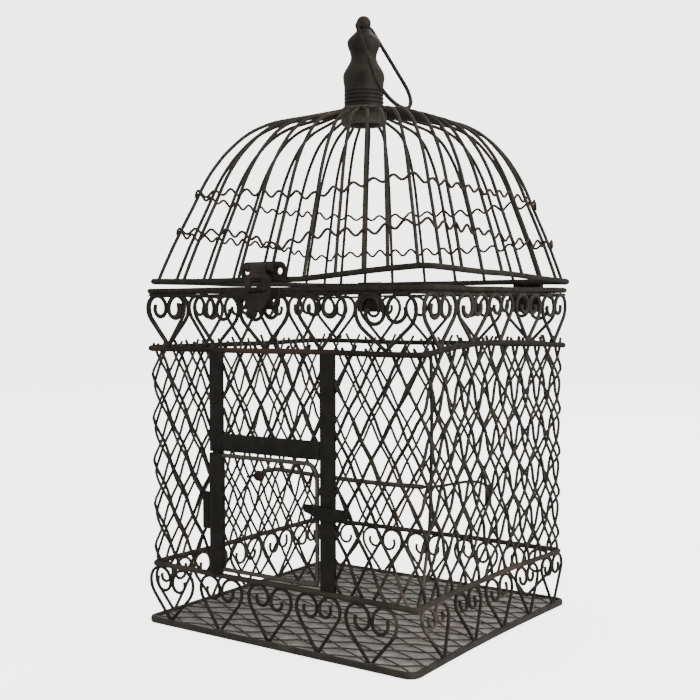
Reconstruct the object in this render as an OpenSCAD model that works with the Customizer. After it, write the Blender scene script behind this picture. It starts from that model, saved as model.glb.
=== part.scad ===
// Wire birdcage used as a card box: scrolled galleries, diamond mesh walls, a door and a domed lid
// The origin is the middle of the base on the ground, the front faces -Y and +Z is up

/* [Cage] */
// Width between the middles of the side walls
cage_w = 236; // [200:1:300]
// Depth between the middles of the front and back walls
cage_d = 213; // [180:1:280]
// Height of the mesh walls, from the lower rail to the upper rail
wall_h = 162; // [140:1:220]
// Radius of the rails' bends at the corners
corner_r = 6; // [4:0.5:10]
// Diameter of the rail wire
rail_d = 4.4; // [3.6:0.1:6]

/* [Base] */
// Height of the flat bar that the cage stands on
base_h = 6; // [4:0.5:10]
// Width of the flat bar
base_bar_w = 10; // [8:0.5:16]
// How far the bar stands out past the middle of the walls
base_lip = 3; // [2.5:0.1:5]
// Length of one floor diamond along the front
floor_cell_x = 23; // [18:0.5:36]
// Length of one floor diamond from front to back
floor_cell_y = 15; // [12:0.5:24]

/* [Scrolls] */
// Height of the lower gallery, from the base to the lower rail's middle
lower_gallery_h = 37.7; // [34:0.1:50]
// Height of the upper gallery, from the upper rail's middle to the rim's middle
upper_gallery_h = 42.6; // [38:0.1:56]
// Width of one heart over its wire
heart_w = 42; // [38:0.5:44]
// Diameter of the scroll wire
scroll_d = 3; // [2.4:0.1:3.6]
// Least spacing of the hearts on the front and the back
heart_step_front = 45; // [44:0.5:60]
// Least spacing of the hearts on the sides
heart_step_side = 42.2; // [42:0.1:60]
// Room left at the two ends of the front and back rows
heart_end_front = 5; // [4.5:0.1:10]
// Room left at the two ends of the side rows
heart_end_side = 0.5; // [0.5:0.1:6]
// How far the front and back rows sit off the middle
heart_shift = -4; // [-6:0.5:6]
// Radius of a heart's upper bend
lobe_r = 8.6; // [8:0.1:9]
// Radius of the curl inside a heart
curl_r = 5; // [3.5:0.1:5.5]
// Radius of a heart's flank
flank_r = 14; // [10:0.5:17]
// Straight run from the upper bend down to the curl
curl_drop = 3; // [1:0.5:5]
// Straight end of the curl
curl_rise = 4; // [2:0.5:6]

/* [Mesh] */
// Thickness of the mesh wire
mesh_wire = 2; // [1.4:0.1:2.4]
// Width of one wall diamond
mesh_cell_w = 16; // [12:0.5:24]
// Height of one wall diamond
mesh_cell_h = 32.5; // [24:0.5:44]
// Diameter of the seam rod in the front right corner
seam_d = 3; // [2.4:0.1:4]
// Thickness of the sheet under the floor mesh
sheet_t = 1.2; // [0.8:0.1:1.6]

/* [Door] */
// Place of the hinge post's middle from the middle of the front
hinge_post_x = -53; // [-70:0.5:-45]
// Width of the opening between the two posts
door_gap_w = 86.5; // [70:0.5:100]
// Height of the opening, from the lower rail's middle to the header
door_gap_h = 89.8; // [75:0.1:110]
// Width of the flat posts
post_w = 11.6; // [9:0.1:14]
// Thickness of the flat posts and the header
post_t = 3; // [2:0.1:4]
// Height of the header bar
header_h = 12.5; // [8:0.5:18]
// Diameter of the hinge rod below the header
hinge_rod_d = 6.4; // [5:0.1:7.5]
// Outer diameter of the rolled sleeve that turns on the rod
sleeve_d = 11.4; // [10:0.1:13]
// Diameter of the door's frame wire
door_wire_d = 3.2; // [2.4:0.1:3.6]
// Radius of the door's upper corner
door_corner_r = 9; // [6:0.5:14]
// Radius of the door's lower corner
door_foot_r = 4; // [3:0.5:8]
// Height of the latch's middle above the lower rail
latch_up = 54; // [35:0.5:65]
// Height of the latch strip
latch_h = 9; // [6:0.5:12]
// Thickness of the latch strip and the hinge leaf
latch_t = 1.2; // [0.8:0.1:1.6]
// Reach of the latch past the door wire
latch_reach = 27; // [22:0.5:32]
// Length of the latch's tail behind the door mesh
latch_tail = 13; // [8:0.5:18]
// Width of the fixed leaf beside the sleeve
leaf_w = 6; // [4:0.5:9]
// Height of the fixed leaf
leaf_h = 27; // [20:0.5:34]
// Height of the fixed leaf's foot above the lower rail
leaf_up = 33; // [25:0.5:40]

/* [Perch] */
// Diameter of the perch rod
perch_d = 3.8; // [3:0.1:5]
// Diameter of the bead at the perch's left end
bead_d = 9; // [7:0.1:12]
// Diameter of the thin hook wire
hook_d = 2.2; // [1.8:0.1:2.8]
// Height of the perch rod above the lower rail
perch_up = 59.5; // [45:0.5:75]
// How far the perch's ends lie either side of the middle, front to back
perch_skew = 12; // [0:0.5:35]
// Width of the clip on the right wall
clip_w = 5; // [4:0.5:8]

/* [Lid] */
// Height of the lid rail's middle above the rim's middle
lid_up = 6.9; // [6.5:0.1:9]
// Diameter of the lid rail
lid_rail_d = 4.8; // [4:0.1:6]
// How far the lid sits to the right of the cage
lid_shift = 3; // [0:0.1:5]
// How far the lid's rail stands out past the walls at the left and the right
lid_over = 3; // [0:0.1:4]
// Lift of the bent rail at the front right corner
corner_lift = 7; // [0:0.5:9]
// Place along the front where the bent rail starts to rise
lift_from = 20; // [0:1:40]
// Height of the dome, from the lid rail to the rib ends at the crown
dome_h = 129; // [100:1:160]
// Height of the dome's shoulder above the lid rail
shoulder_h = 114; // [85:1:118]
// Reach of the shoulder, as a share of each rib's own reach
shoulder_share = 0.61; // [0.5:0.01:0.7]
// Run of the shoulder's bend each side of its corner
shoulder_run = 28; // [18:0.5:32]
// Diameter of the dome wires
rib_d = 2.8; // [2.2:0.1:3]
// Dome wires along the front, and as many along the back
ribs_front = 9; // [7:2:9]
// Dome wires along each side
ribs_side = 7; // [5:2:7]
// Distance of the end wires from the corners, along the front
rib_inset_front = 6; // [6:0.5:12]
// Distance of the end wires from the corners, along the sides
rib_inset_side = 16; // [12:0.5:20]

/* [Wave wires] */
// Diameter of the wavy wires tied round the dome
wave_d = 2.2; // [1.6:0.1:2.6]
// Height of the lower wavy wire above the lid rail
wave_low_up = 32; // [25:0.5:42]
// Height of the upper wavy wire above the lid rail
wave_high_up = 63; // [52:0.5:75]
// Height of one wave, from its middle to its crest
wave_amp = 2.2; // [1:0.1:3]
// Length of one wave
wave_len = 15.5; // [13:0.5:22]
// Sag of the lower wire at the middle of the front
wave_sag = 4; // [0:0.5:6]

/* [Crown] */
// Diameter of the crown hub that the dome wires end in
hub_d = 35; // [34:0.5:42]
// Height of the crown hub
hub_h = 13; // [9:0.5:18]
// Height of the turned finial, without its ball
finial_h = 60; // [50:0.5:75]
// Diameter of the finial's foot
finial_foot_d = 29.6; // [24:0.2:32]
// Height of the finial's grooved foot
finial_foot_h = 13; // [10:0.5:16]
// Diameter of the finial's belly
finial_belly_d = 31.6; // [26:0.2:33]
// Diameter of the finial's waist
finial_waist_d = 19.2; // [15:0.2:22]
// Diameter of the finial's bulb
finial_bulb_d = 25; // [20:0.2:26]
// Diameter of the neck below the ball
finial_neck_d = 9.4; // [8:0.2:11]
// Diameter of the ball on top
finial_ball_d = 11.2; // [10:0.2:12]
// Diameter of the stud that holds the finial
stud_d = 5; // [4:0.1:8]
// Diameter of the ring's wire
ring_d = 3; // [2.4:0.1:3.4]
// Length of the ring below its eye
ring_len = 74; // [60:1:80]
// Radius of the ring's round end
ring_r = 21; // [18:0.5:26]
// Gap between the resting ring and the dome wires under it
ring_clear = 0.5; // [0.4:0.1:1.5]

/* [Hasp] */
// Place of the lid plate's middle from the middle of the front
hasp_x = -8.5; // [-15:0.5:5]
// Width of the lid plate
hasp_plate_w = 39; // [34:0.5:48]
// Height of the lid plate
hasp_plate_h = 13.5; // [12:0.5:18]
// Thickness of the hasp's plates and tongue
hasp_t = 1.5; // [1:0.1:2]
// Diameter of the hasp's barrel
hasp_barrel_d = 6; // [5:0.1:7]
// Diameter of the hasp's pin
hasp_pin_d = 3; // [2.4:0.1:3.4]
// Length of the tongue's barrel
hasp_barrel_w = 14; // [10:0.5:18]
// Width of the tongue
tongue_w = 22; // [18:0.5:28]
// Radius of the tongue's outward bend
tongue_bend_r = 18; // [14:0.5:24]
// Angle of the tongue's outward bend
tongue_bend = 62; // [45:1:75]
// Length of the tongue from its pin to its bend
tongue_drop = 17.5; // [14:0.5:22]
// Diameter of the tongue's round finger tab
tab_d = 10.6; // [8:0.2:14]
// Width of the catch plate on the rim
catch_w = 38; // [34:0.5:48]
// Height of the catch plate
catch_h = 15; // [13:0.5:20]
// Place of the catch plate's middle from the middle of the front
catch_x = -13.5; // [-20:0.5:0]
// Diameter of the catch knob
knob_d = 8; // [6:0.2:9]
// Height of the catch knob
knob_h = 3; // [2:0.1:3.6]

/* [Lid hinges] */
// Place of the left hinge from the middle of the back
lid_hinge_left_x = -65; // [-80:0.5:-50]
// Place of the right hinge from the middle of the back
lid_hinge_right_x = 86; // [60:0.5:90]
// Width of a hinge
lid_hinge_w = 24; // [20:0.5:32]
// Height of a hinge leaf
lid_leaf_h = 17; // [12:0.5:20]
// Thickness of a hinge leaf
lid_leaf_t = 1.6; // [1.2:0.1:2]
// Diameter of a hinge barrel
lid_barrel_d = 6; // [5:0.1:6.4]
// Diameter of a hinge pin
lid_pin_d = 3; // [2.4:0.1:3.4]

/* [Fits] */
// How deep a welded piece sinks into what it is welded to
weld = 0.3; // [0.2:0.05:0.5]
// Gap between a pin and the bore that turns on it
running_gap = 0.06; // [0.03:0.01:0.1]
// Grip of a bore on a pin that is pressed in
press_grip = 0.02; // [0.01:0.01:0.04]
// Gap between pieces that move past each other
free_gap = 0.4; // [0.35:0.05:0.6]

/* [Hidden] */
$fn = 48;
iron = "#2b2724";
rust = "#4a3a32";
bronze = "#33271f";
plate_iron = "#2a2322";
sheet_grey = "#8f8a82";

rail_r = rail_d / 2;
scroll_r = scroll_d / 2;
door_r = door_wire_d / 2;
perch_r = perch_d / 2;
hook_r = hook_d / 2;
lid_rail_r = lid_rail_d / 2;
rib_r = rib_d / 2;
wave_r = wave_d / 2;
ring_wire_r = ring_d / 2;
hub_r = hub_d / 2;
half_w = cage_w / 2;
half_d = cage_d / 2;
lid_half_w = half_w + lid_over;

lower_rail_z = base_h + lower_gallery_h;
upper_rail_z = lower_rail_z + wall_h;
rim_z = upper_rail_z + upper_gallery_h;
lid_rail_z = rim_z + lid_up;
crown_z = lid_rail_z + dome_h;
shoulder_z = lid_rail_z + shoulder_h;

// The floor mesh lies inside the base bar, between its faces
floor_w = cage_w + 2 * (base_lip - base_bar_w);
floor_d = cage_d + 2 * (base_lip - base_bar_w);
floor_z = base_h - mesh_wire - weld;

// The door's posts, opening and moving pieces
opening_left = hinge_post_x + post_w / 2;
opening_right = opening_left + door_gap_w;
catch_post_x = opening_right + post_w / 2;
header_z = lower_rail_z + door_gap_h;
sleeve_r = sleeve_d / 2;
sleeve_bottom = lower_rail_z + rail_r + 2 * free_gap;
sleeve_top = header_z - 4 * free_gap;
rod_top = header_z - 2 * free_gap;
door_top = sleeve_top - door_r;
door_bottom = sleeve_bottom + door_r;
door_right = opening_right - 4 * free_gap - door_r;
latch_z = lower_rail_z + latch_up;
eye_r = door_r + running_gap + latch_t;
latch_front = -max(post_t / 2 + free_gap, eye_r - latch_t / 2);

// The hasp's pin stands in front of the lid plate
lid_front = -half_d - lid_rail_r;
plate_back = lid_front + weld;
plate_front = plate_back - hasp_t;
hasp_barrel_r = hasp_barrel_d / 2;
hasp_pin_r = hasp_pin_d / 2;
hasp_y = plate_front - free_gap - hasp_barrel_r;
hasp_z = lid_rail_z + 8;
tongue_mid = hasp_y - hasp_barrel_r + hasp_t / 2;
bend_z = hasp_z - tongue_drop;
catch_back = -half_d - rail_r + weld;
catch_front = catch_back - hasp_t;
ear_w = 4;

// The lid hinges' pins stand behind the rim and the lid rail
lid_barrel_r = lid_barrel_d / 2;
lid_pin_r = lid_pin_d / 2;
lid_hinge_z = rim_z + lid_up / 2;
lid_hinge_y = half_d + max(rail_r, lid_rail_r) + free_gap + lid_barrel_r;
knuckle_w = (lid_hinge_w - 2 * free_gap) / 3;

// The crown
finial_z = crown_z + rib_r + 1;
hub_z = finial_z - hub_h;
ball_z = finial_z + finial_h + finial_ball_d / 2 - 2;
eye_z = ball_z - 2;
// The ring leans until it rests on the dome wires that run to the right, or against the hub
crown_end = hub_r - rib_r;
crown_fall = atan((crown_z - shoulder_z) / (shoulder_share * (lid_half_w - crown_end)));
rest_gap = ring_wire_r + rib_r + ring_clear;
rest_drop = (eye_z - crown_z) * cos(crown_fall) - crown_end * sin(crown_fall) - rest_gap;
hub_lean = asin(min(1, (hub_r + ring_wire_r + ring_clear) / ring_len));
ring_lean = max(hub_lean, acos(min(1, rest_drop / ring_len)) - crown_fall);
eye_hole_r = ring_wire_r + 0.3;
stud_r = stud_d / 2;
stud_len = 24;
nut_d = 2 * stud_d;
nut_h = 4;

// Flat wire shapes are drawn on the XY plane and then stood up
module arc_wire(centre, r, from, turn, wire_r) {
    translate([centre[0], centre[1], 0])
        rotate([0, 0, from])
            rotate_extrude(angle = turn)
                translate([r, 0])
                    circle(r = wire_r);
}

module line_wire(p, q, wire_r) {
    run = q - p;
    translate([p[0], p[1], 0])
        rotate([0, 0, atan2(run[1], run[0])])
            rotate([0, 90, 0])
                cylinder(h = norm(run), r = wire_r);
}

// A collar that joins a bent run and a straight run of one wire, each kept a little short of it
join_half = 0.6;
join_over = 0.05;
join_short = 0.15;
function towards(p, q, step) = p + step * (q - p) / norm(q - p);
function arc_short(r) = join_short / r * 180 / PI;

module join(at, heading, wire_r) {
    step = join_half * [cos(heading), sin(heading)];
    line_wire(at - step, at + step, wire_r + join_over);
}

module rod(p, q, r) {
    run = q - p;
    flat = norm([run[0], run[1]]);
    translate(p)
        rotate([0, atan2(flat, run[2]), atan2(run[1], run[0])])
            cylinder(h = norm(run), r = r);
}

module stand_up() {
    rotate([90, 0, 0])
        children();
}

// One rail: four straight runs and four quarter bends in a level ring
module ring_rail(z) {
    run_x = half_w - corner_r;
    run_y = half_d - corner_r;
    translate([0, 0, z])
        for (side = [0, 180])
            rotate([0, 0, side]) {
                line_wire([-run_x, -half_d], [run_x, -half_d], rail_r);
                arc_wire([run_x, -run_y], corner_r, -90, 90, rail_r);
                line_wire([half_w, -run_y], [half_w, run_y], rail_r);
                arc_wire([run_x, run_y], corner_r, 0, 90, rail_r);
            }
}

// Half a heart: from the tip up the flank, over the top, down and round into the curl
module half_heart(height) {
    a = heart_w / 2 - scroll_r;
    bend_y = height - lobe_r;
    lean = a - flank_r;
    turn = atan2(lean, bend_y) + asin(flank_r / norm([bend_y, lean]));
    flank_mid = [-a + flank_r, bend_y];
    flank_end = flank_mid - flank_r * [cos(turn), sin(turn)];
    past_tip = scroll_r * [sin(turn), -cos(turn)];
    inner_x = -a + 2 * lobe_r;
    curl_y = bend_y - curl_drop;
    line_wire(towards(flank_end, past_tip, join_short), past_tip, scroll_r);
    join(flank_end, turn - 90, scroll_r);
    arc_wire(flank_mid, flank_r, 180, turn - arc_short(flank_r), scroll_r);
    arc_wire([-a + lobe_r, bend_y], lobe_r, 0, 180, scroll_r);
    line_wire([inner_x, curl_y], [inner_x, bend_y], scroll_r);
    arc_wire([inner_x - curl_r, curl_y], curl_r, 180, 180, scroll_r);
    line_wire([inner_x - 2 * curl_r, curl_y], [inner_x - 2 * curl_r, curl_y + curl_rise], scroll_r);
}

module heart(height) {
    half_heart(height);
    mirror([1, 0, 0])
        half_heart(height);
}

// A row of hearts between a flat or round footing below and a rail above, spread over its run
module heart_row(run, end_room, least_step, shift, foot_z, rail_z) {
    tip_z = foot_z + scroll_r - weld;
    height = rail_z - rail_r - scroll_r + weld - tip_z;
    span = run - heart_w - 2 * end_room;
    count = max(2, floor(span / least_step) + 1);
    step = span / (count - 1);
    translate([shift, 0, tip_z])
        stand_up()
            for (i = [0 : count - 1])
                translate([(i - (count - 1) / 2) * step, 0, 0])
                    heart(height);
}

module gallery_front(foot_z, rail_z) {
    translate([0, -half_d, 0])
        heart_row(cage_w, heart_end_front, heart_step_front, heart_shift, foot_z, rail_z);
}

module gallery_back(foot_z, rail_z) {
    translate([0, half_d, 0])
        heart_row(cage_w, heart_end_front, heart_step_front, heart_shift, foot_z, rail_z);
}

module gallery_side(x, foot_z, rail_z) {
    translate([x, 0, 0])
        rotate([0, 0, 90])
            heart_row(cage_d, heart_end_side, heart_step_side, 0, foot_z, rail_z);
}

// Cuts a convex outline back to the side of a line where sign * coordinate stays over the limit
function inside(p, axis, sign, limit) = sign * p[axis] >= sign * limit;
function meet(p, q, axis, limit) = p + (q - p) * (limit - p[axis]) / (q[axis] - p[axis]);
function clip(shape, axis, sign, limit) = [
    for (i = [0 : len(shape) - 1])
        let (p = shape[i], q = shape[(i + 1) % len(shape)])
            let (p_in = inside(p, axis, sign, limit), q_in = inside(q, axis, sign, limit))
                each concat(p_in ? [p] : [], p_in != q_in ? [meet(p, q, axis, limit)] : [])
];
function clip_box(shape, w, h, edge) =
    let (a = clip(shape, 0, 1, edge))
        let (b = len(a) < 3 ? [] : clip(a, 0, -1, w - edge))
            let (c = len(b) < 3 ? [] : clip(b, 1, 1, edge))
                len(c) < 3 ? [] : clip(c, 1, -1, h - edge);

// A flat sheet of diamond mesh, w by h, whose edge is one wire wide
module mesh_outline(w, h, cell_w, cell_h) {
    across = max(1, round(w / cell_w));
    up = max(1, round(h / cell_h));
    a = w / across / 2;
    b = h / up / 2;
    shrink = 1 - mesh_wire / 2 * norm([a, b]) / (a * b);
    difference() {
        square([w, h]);
        for (i = [0 : 2 * across], j = [0 : 2 * up])
            if ((i + j) % 2 == 1) {
                diamond = [
                    [i * a + a * shrink, j * b],
                    [i * a, j * b + b * shrink],
                    [i * a - a * shrink, j * b],
                    [i * a, j * b - b * shrink]
                ];
                gap = clip_box(diamond, w, h, mesh_wire);
                if (len(gap) > 2)
                    polygon(gap);
            }
    }
}

// A wall panel from x0 to x1 and z0 to z1 on the plane y = 0, with its wire on both sides of it
module mesh_panel(x0, x1, z0, z1) {
    translate([x0, mesh_wire / 2, z0])
        rotate([90, 0, 0])
            linear_extrude(mesh_wire)
                mesh_outline(x1 - x0, z1 - z0, mesh_cell_w, mesh_cell_h);
}

// A round wire swept along points: rings of corners joined by triangles
function unit(v) = v / norm(v);
function ring_of(points, i, r, sides, closed) =
    let (n = len(points))
        let (before = points[closed ? (i + n - 1) % n : max(0, i - 1)])
            let (after = points[closed ? (i + 1) % n : min(n - 1, i + 1)])
                let (along = unit(after - before))
                    let (across = unit(cross(along, [0, 0, 1])))
                        let (over = cross(across, along))
                            [for (k = [0 : sides - 1])
                                let (turn = 360 * k / sides)
                                    points[i] + r * (cos(turn) * across + sin(turn) * over)];

module swept_wire(points, r, sides, closed) {
    n = len(points);
    spans = closed ? n : n - 1;
    corners = [for (i = [0 : n - 1]) each ring_of(points, i, r, sides, closed)];
    walls = [
        for (i = [0 : spans - 1], k = [0 : sides - 1])
            let (a = i * sides, b = ((i + 1) % n) * sides, m = (k + 1) % sides)
                each [[a + k, a + m, b + m], [a + k, b + m, b + k]]
    ];
    first = [for (k = [1 : sides - 2]) [0, k + 1, k]];
    last_start = (n - 1) * sides;
    last = [for (k = [1 : sides - 2]) [last_start, last_start + k, last_start + k + 1]];
    polyhedron(points = corners, faces = closed ? walls : concat(walls, first, last), convexity = 8);
}

// Points round a rounded rectangle, starting at the left end of the front run
function side_points(from, to, count) = [for (i = [0 : count - 1]) from + (to - from) * i / count];
function bend_points(centre, r, from, count) =
    [for (i = [0 : count - 1]) centre + r * [cos(from + 90 * i / count), sin(from + 90 * i / count)]];
function loop_points(hw, hd, r, per_front, per_side, per_bend) = concat(
    side_points([r - hw, -hd], [hw - r, -hd], per_front),
    bend_points([hw - r, r - hd], r, -90, per_bend),
    side_points([hw, r - hd], [hw, hd - r], per_side),
    bend_points([hw - r, hd - r], r, 0, per_bend),
    side_points([hw - r, hd], [r - hw, hd], per_front),
    bend_points([r - hw, hd - r], r, 90, per_bend),
    side_points([-hw, hd - r], [-hw, r - hd], per_side),
    bend_points([r - hw, r - hd], r, 180, per_bend)
);

// Lift of the bent lid rail at a place on it, counted from the lid's own middle
function limit01(t) = min(1, max(0, t));
function lift_at(x, y) =
    corner_lift * limit01((x - lift_from) / (lid_half_w - lift_from)) * limit01((half_d - y) / cage_d);

module on_lid() {
    translate([lid_shift, 0, 0])
        children();
}

// The cage
module base_bar_outline(w, d, r) {
    square([w - 2 * r, d], center = true);
    square([w, d - 2 * r], center = true);
    for (x = [-1, 1], y = [-1, 1])
        translate([x * (w / 2 - r), y * (d / 2 - r)])
            circle(r);
}

module base_frame() {
    color(iron)
        linear_extrude(base_h)
            difference() {
                base_bar_outline(cage_w + 2 * base_lip, cage_d + 2 * base_lip, corner_r + base_lip);
                square([floor_w, floor_d], center = true);
            }
}

// A plain sheet under the floor mesh closes the base
module floor_sheet() {
    sheet_z = floor_z - free_gap - sheet_t;
    color(sheet_grey)
        translate([-floor_w / 2 - weld, -floor_d / 2 - weld, sheet_z])
            cube([floor_w + 2 * weld, floor_d + 2 * weld, sheet_t]);
}

module floor_mesh() {
    color(rust)
        translate([-floor_w / 2, -floor_d / 2, floor_z])
            linear_extrude(mesh_wire)
                mesh_outline(floor_w, floor_d, floor_cell_x, floor_cell_y);
}

module lower_scrolls_front() {
    color(iron) gallery_front(base_h, lower_rail_z);
}

module lower_scrolls_back() {
    color(iron) gallery_back(base_h, lower_rail_z);
}

module lower_scrolls_left() {
    color(iron) gallery_side(-half_w, base_h, lower_rail_z);
}

module lower_scrolls_right() {
    color(iron) gallery_side(half_w, base_h, lower_rail_z);
}

module lower_rail() {
    color(rust) ring_rail(lower_rail_z);
}

module upper_rail() {
    color(rust) ring_rail(upper_rail_z);
}

module top_rim() {
    color(iron) ring_rail(rim_z);
}

module upper_scrolls_front() {
    color(iron) gallery_front(upper_rail_z + rail_r, rim_z);
}

module upper_scrolls_back() {
    color(iron) gallery_back(upper_rail_z + rail_r, rim_z);
}

module upper_scrolls_left() {
    color(iron) gallery_side(-half_w, upper_rail_z + rail_r, rim_z);
}

module upper_scrolls_right() {
    color(iron) gallery_side(half_w, upper_rail_z + rail_r, rim_z);
}

// The side panels cover the ends of the front and back panels
panel_end_x = half_w - mesh_wire / 2;
panel_end_y = half_d + mesh_wire / 2;

module side_panel(x) {
    color(iron)
        translate([x, 0, 0])
            rotate([0, 0, 90])
                mesh_panel(-panel_end_y, panel_end_y, lower_rail_z, upper_rail_z);
}

module mesh_left() {
    side_panel(-half_w);
}

module mesh_right() {
    side_panel(half_w);
}

module mesh_back() {
    color(iron)
        translate([0, half_d, 0])
            mesh_panel(-panel_end_x, panel_end_x, lower_rail_z, upper_rail_z);
}

module on_front() {
    translate([0, -half_d, 0])
        children();
}

module mesh_front_left() {
    color(iron)
        on_front()
            mesh_panel(-panel_end_x, hinge_post_x - sleeve_r - free_gap, lower_rail_z, upper_rail_z);
}

module mesh_front_right() {
    color(iron)
        on_front()
            mesh_panel(catch_post_x + post_w / 2, panel_end_x, lower_rail_z, upper_rail_z);
}

module mesh_over_door() {
    color(iron)
        on_front()
            mesh_panel(opening_left, opening_right, header_z + header_h, upper_rail_z);
}

module seam_rod() {
    inset = mesh_wire / 2 + seam_d / 2 - weld;
    color(rust)
        translate([half_w - inset, inset - half_d, lower_rail_z])
            cylinder(h = wall_h, d = seam_d);
}

// The door
module hinge_post() {
    color(plate_iron)
        on_front() {
            translate([hinge_post_x, 0, lower_rail_z])
                cylinder(h = rod_top - lower_rail_z + post_t, d = hinge_rod_d);
            translate([hinge_post_x - post_w / 2, -post_t / 2, rod_top])
                cube([post_w, post_t, upper_rail_z - rod_top]);
        }
}

module catch_post() {
    bottom = lower_rail_z - rail_r + 2 * weld;
    color(plate_iron)
        on_front()
            translate([opening_right, -post_t / 2, bottom])
                cube([post_w, post_t, upper_rail_z - bottom]);
}

module door_header() {
    color(plate_iron)
        on_front()
            translate([opening_left, -post_t / 2, header_z])
                cube([door_gap_w, post_t, header_h]);
}

module hinge_leaf() {
    right = hinge_post_x - sleeve_r - free_gap;
    color(plate_iron)
        on_front()
            translate([right - leaf_w, -mesh_wire / 2 - latch_t, lower_rail_z + leaf_up])
                cube([leaf_w, latch_t, leaf_h]);
}

module door_sleeve() {
    color(plate_iron)
        on_front()
            translate([hinge_post_x, 0, sleeve_bottom])
                difference() {
                    cylinder(h = sleeve_top - sleeve_bottom, r = sleeve_r);
                    translate([0, 0, -1])
                        cylinder(h = sleeve_top - sleeve_bottom + 2, r = hinge_rod_d / 2 + running_gap);
                }
}

door_corner = [door_right - door_corner_r, door_top - door_corner_r];
door_foot = [door_right - door_foot_r, door_bottom + door_foot_r];

module door_frame() {
    left = hinge_post_x + sleeve_r - 2 * weld;
    color(iron)
        on_front()
            stand_up() {
                line_wire([left, door_top], [door_corner[0], door_top], door_r);
                arc_wire(door_corner, door_corner_r, 0, 90, door_r);
                line_wire([door_right, door_foot[1]], [door_right, door_corner[1]], door_r);
                arc_wire(door_foot, door_foot_r, -90, 90, door_r);
                line_wire([left, door_bottom], [door_foot[0], door_bottom], door_r);
            }
}

// The door's mesh keeps its corners inside the bent wire and leaves room for the latch to turn
module door_mesh() {
    left = hinge_post_x + sleeve_r - weld;
    eye_room = latch_t - latch_front + 2 * free_gap;
    color(iron)
        on_front()
            difference() {
                intersection() {
                    mesh_panel(left, door_right, door_bottom, door_top);
                    stand_up()
                        linear_extrude(2 * mesh_wire, center = true) {
                            translate([left, door_bottom])
                                square([door_corner[0] - left, door_top - door_bottom]);
                            translate([left, door_foot[1]])
                                square([door_right - left, door_corner[1] - door_foot[1]]);
                            translate(door_corner)
                                circle(door_corner_r);
                            translate(door_foot)
                                circle(door_foot_r);
                        }
                }
                translate([door_right - eye_room, -mesh_wire, latch_z - latch_h / 2 - free_gap])
                    cube([2 * eye_room, 2 * mesh_wire, latch_h + 2 * free_gap]);
            }
}

// The latch is a strip rolled round the door's wire, in front of the post and behind the mesh
module door_latch() {
    tail_back = mesh_wire / 2 + free_gap;
    tail_tip = latch_h * 0.55;
    color(plate_iron)
        on_front()
            translate([door_right, 0, latch_z])
                difference() {
                    union() {
                        translate([0, 0, -latch_h / 2])
                            cylinder(h = latch_h, r = eye_r);
                        translate([0, latch_front - latch_t, -latch_h / 2])
                            cube([latch_reach, latch_t, latch_h]);
                        translate([0, latch_front - latch_t, -latch_h / 2])
                            cube([eye_r, -latch_front, latch_h]);
                        translate([0, tail_back + latch_t, 0])
                            stand_up()
                                linear_extrude(latch_t)
                                    polygon([
                                        [0, -latch_h / 2],
                                        [0, latch_h / 2],
                                        [-latch_tail, latch_h / 2],
                                        [-latch_tail, latch_h / 2 - tail_tip]
                                    ]);
                    }
                    translate([0, 0, -latch_h])
                        cylinder(h = 2 * latch_h, r = door_r + running_gap);
                }
}

// The perch runs across the cage from a bead at the left wall to a hook at the right wall
perch_z = lower_rail_z + perch_up;
wall_inner_x = half_w - mesh_wire / 2;
loop_x = hook_r - wall_inner_x - weld;
// The perch's bends were drawn for a half width of 118 and stretch with the cage
bend_unit = half_w / 118;
bead_at = [loop_x + bead_d / 2, perch_skew, perch_z - 8 * bend_unit];
function perch_y(x) = -perch_skew * x / -bead_at[0];
function perch_at(x, rise) = [x, perch_y(x), perch_z + rise * bend_unit];
function past_bead(run, rise) = perch_at(bead_at[0] + run * bend_unit, rise);
perch_end_x = half_w / 2;
perch_points = [
    bead_at, past_bead(3, -5.5), past_bead(8, -3.2), past_bead(16, -1.5), past_bead(26, -0.6),
    perch_at(-30 * bend_unit, -1.4), perch_at(20 * bend_unit, -1), perch_at(perch_end_x, 0.5)
];
hook_end_x = wall_inner_x - clip_w / 4;
clip_h = 2.8 * clip_w;
clip_foot_z = perch_z + 8 * bend_unit - clip_h;
function before_clip(run, rise) = perch_at(hook_end_x - run * bend_unit, rise);
hook_points = [
    perch_at(perch_end_x - 4 * bend_unit, 0.4), perch_at(perch_end_x + 2 * bend_unit, 0.7),
    before_clip(42, 2.6), before_clip(28, 6), before_clip(16, 8.6), before_clip(6, 8.8), before_clip(0, 6)
];

module perch_rod() {
    color(rust)
        swept_wire(perch_points, perch_r, 10, false);
}

module perch_bead() {
    color(bronze)
        translate(bead_at)
            sphere(d = bead_d);
}

// A short wire across the inner face of the left wall carries the bead
module perch_loop() {
    half = mesh_cell_w * 0.6;
    color(rust)
        rod([loop_x, bead_at[1] - half, bead_at[2]], [loop_x, bead_at[1] + half, bead_at[2]], hook_r);
}

module perch_hook() {
    color(rust)
        swept_wire(hook_points, hook_r, 8, false);
}

module perch_clip() {
    color(plate_iron)
        translate([wall_inner_x - clip_w / 2, perch_y(hook_end_x) - clip_w / 2, clip_foot_z])
            cube([clip_w / 2 + weld, clip_w, clip_h]);
}

// The lid
module lid_rail() {
    points = [
        for (p = loop_points(lid_half_w, half_d, corner_r, 12, 8, 6))
            [p[0], p[1], lid_rail_z + lift_at(p[0], p[1])]
    ];
    color(iron)
        on_lid()
            swept_wire(points, lid_rail_r, 12, true);
}

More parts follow.
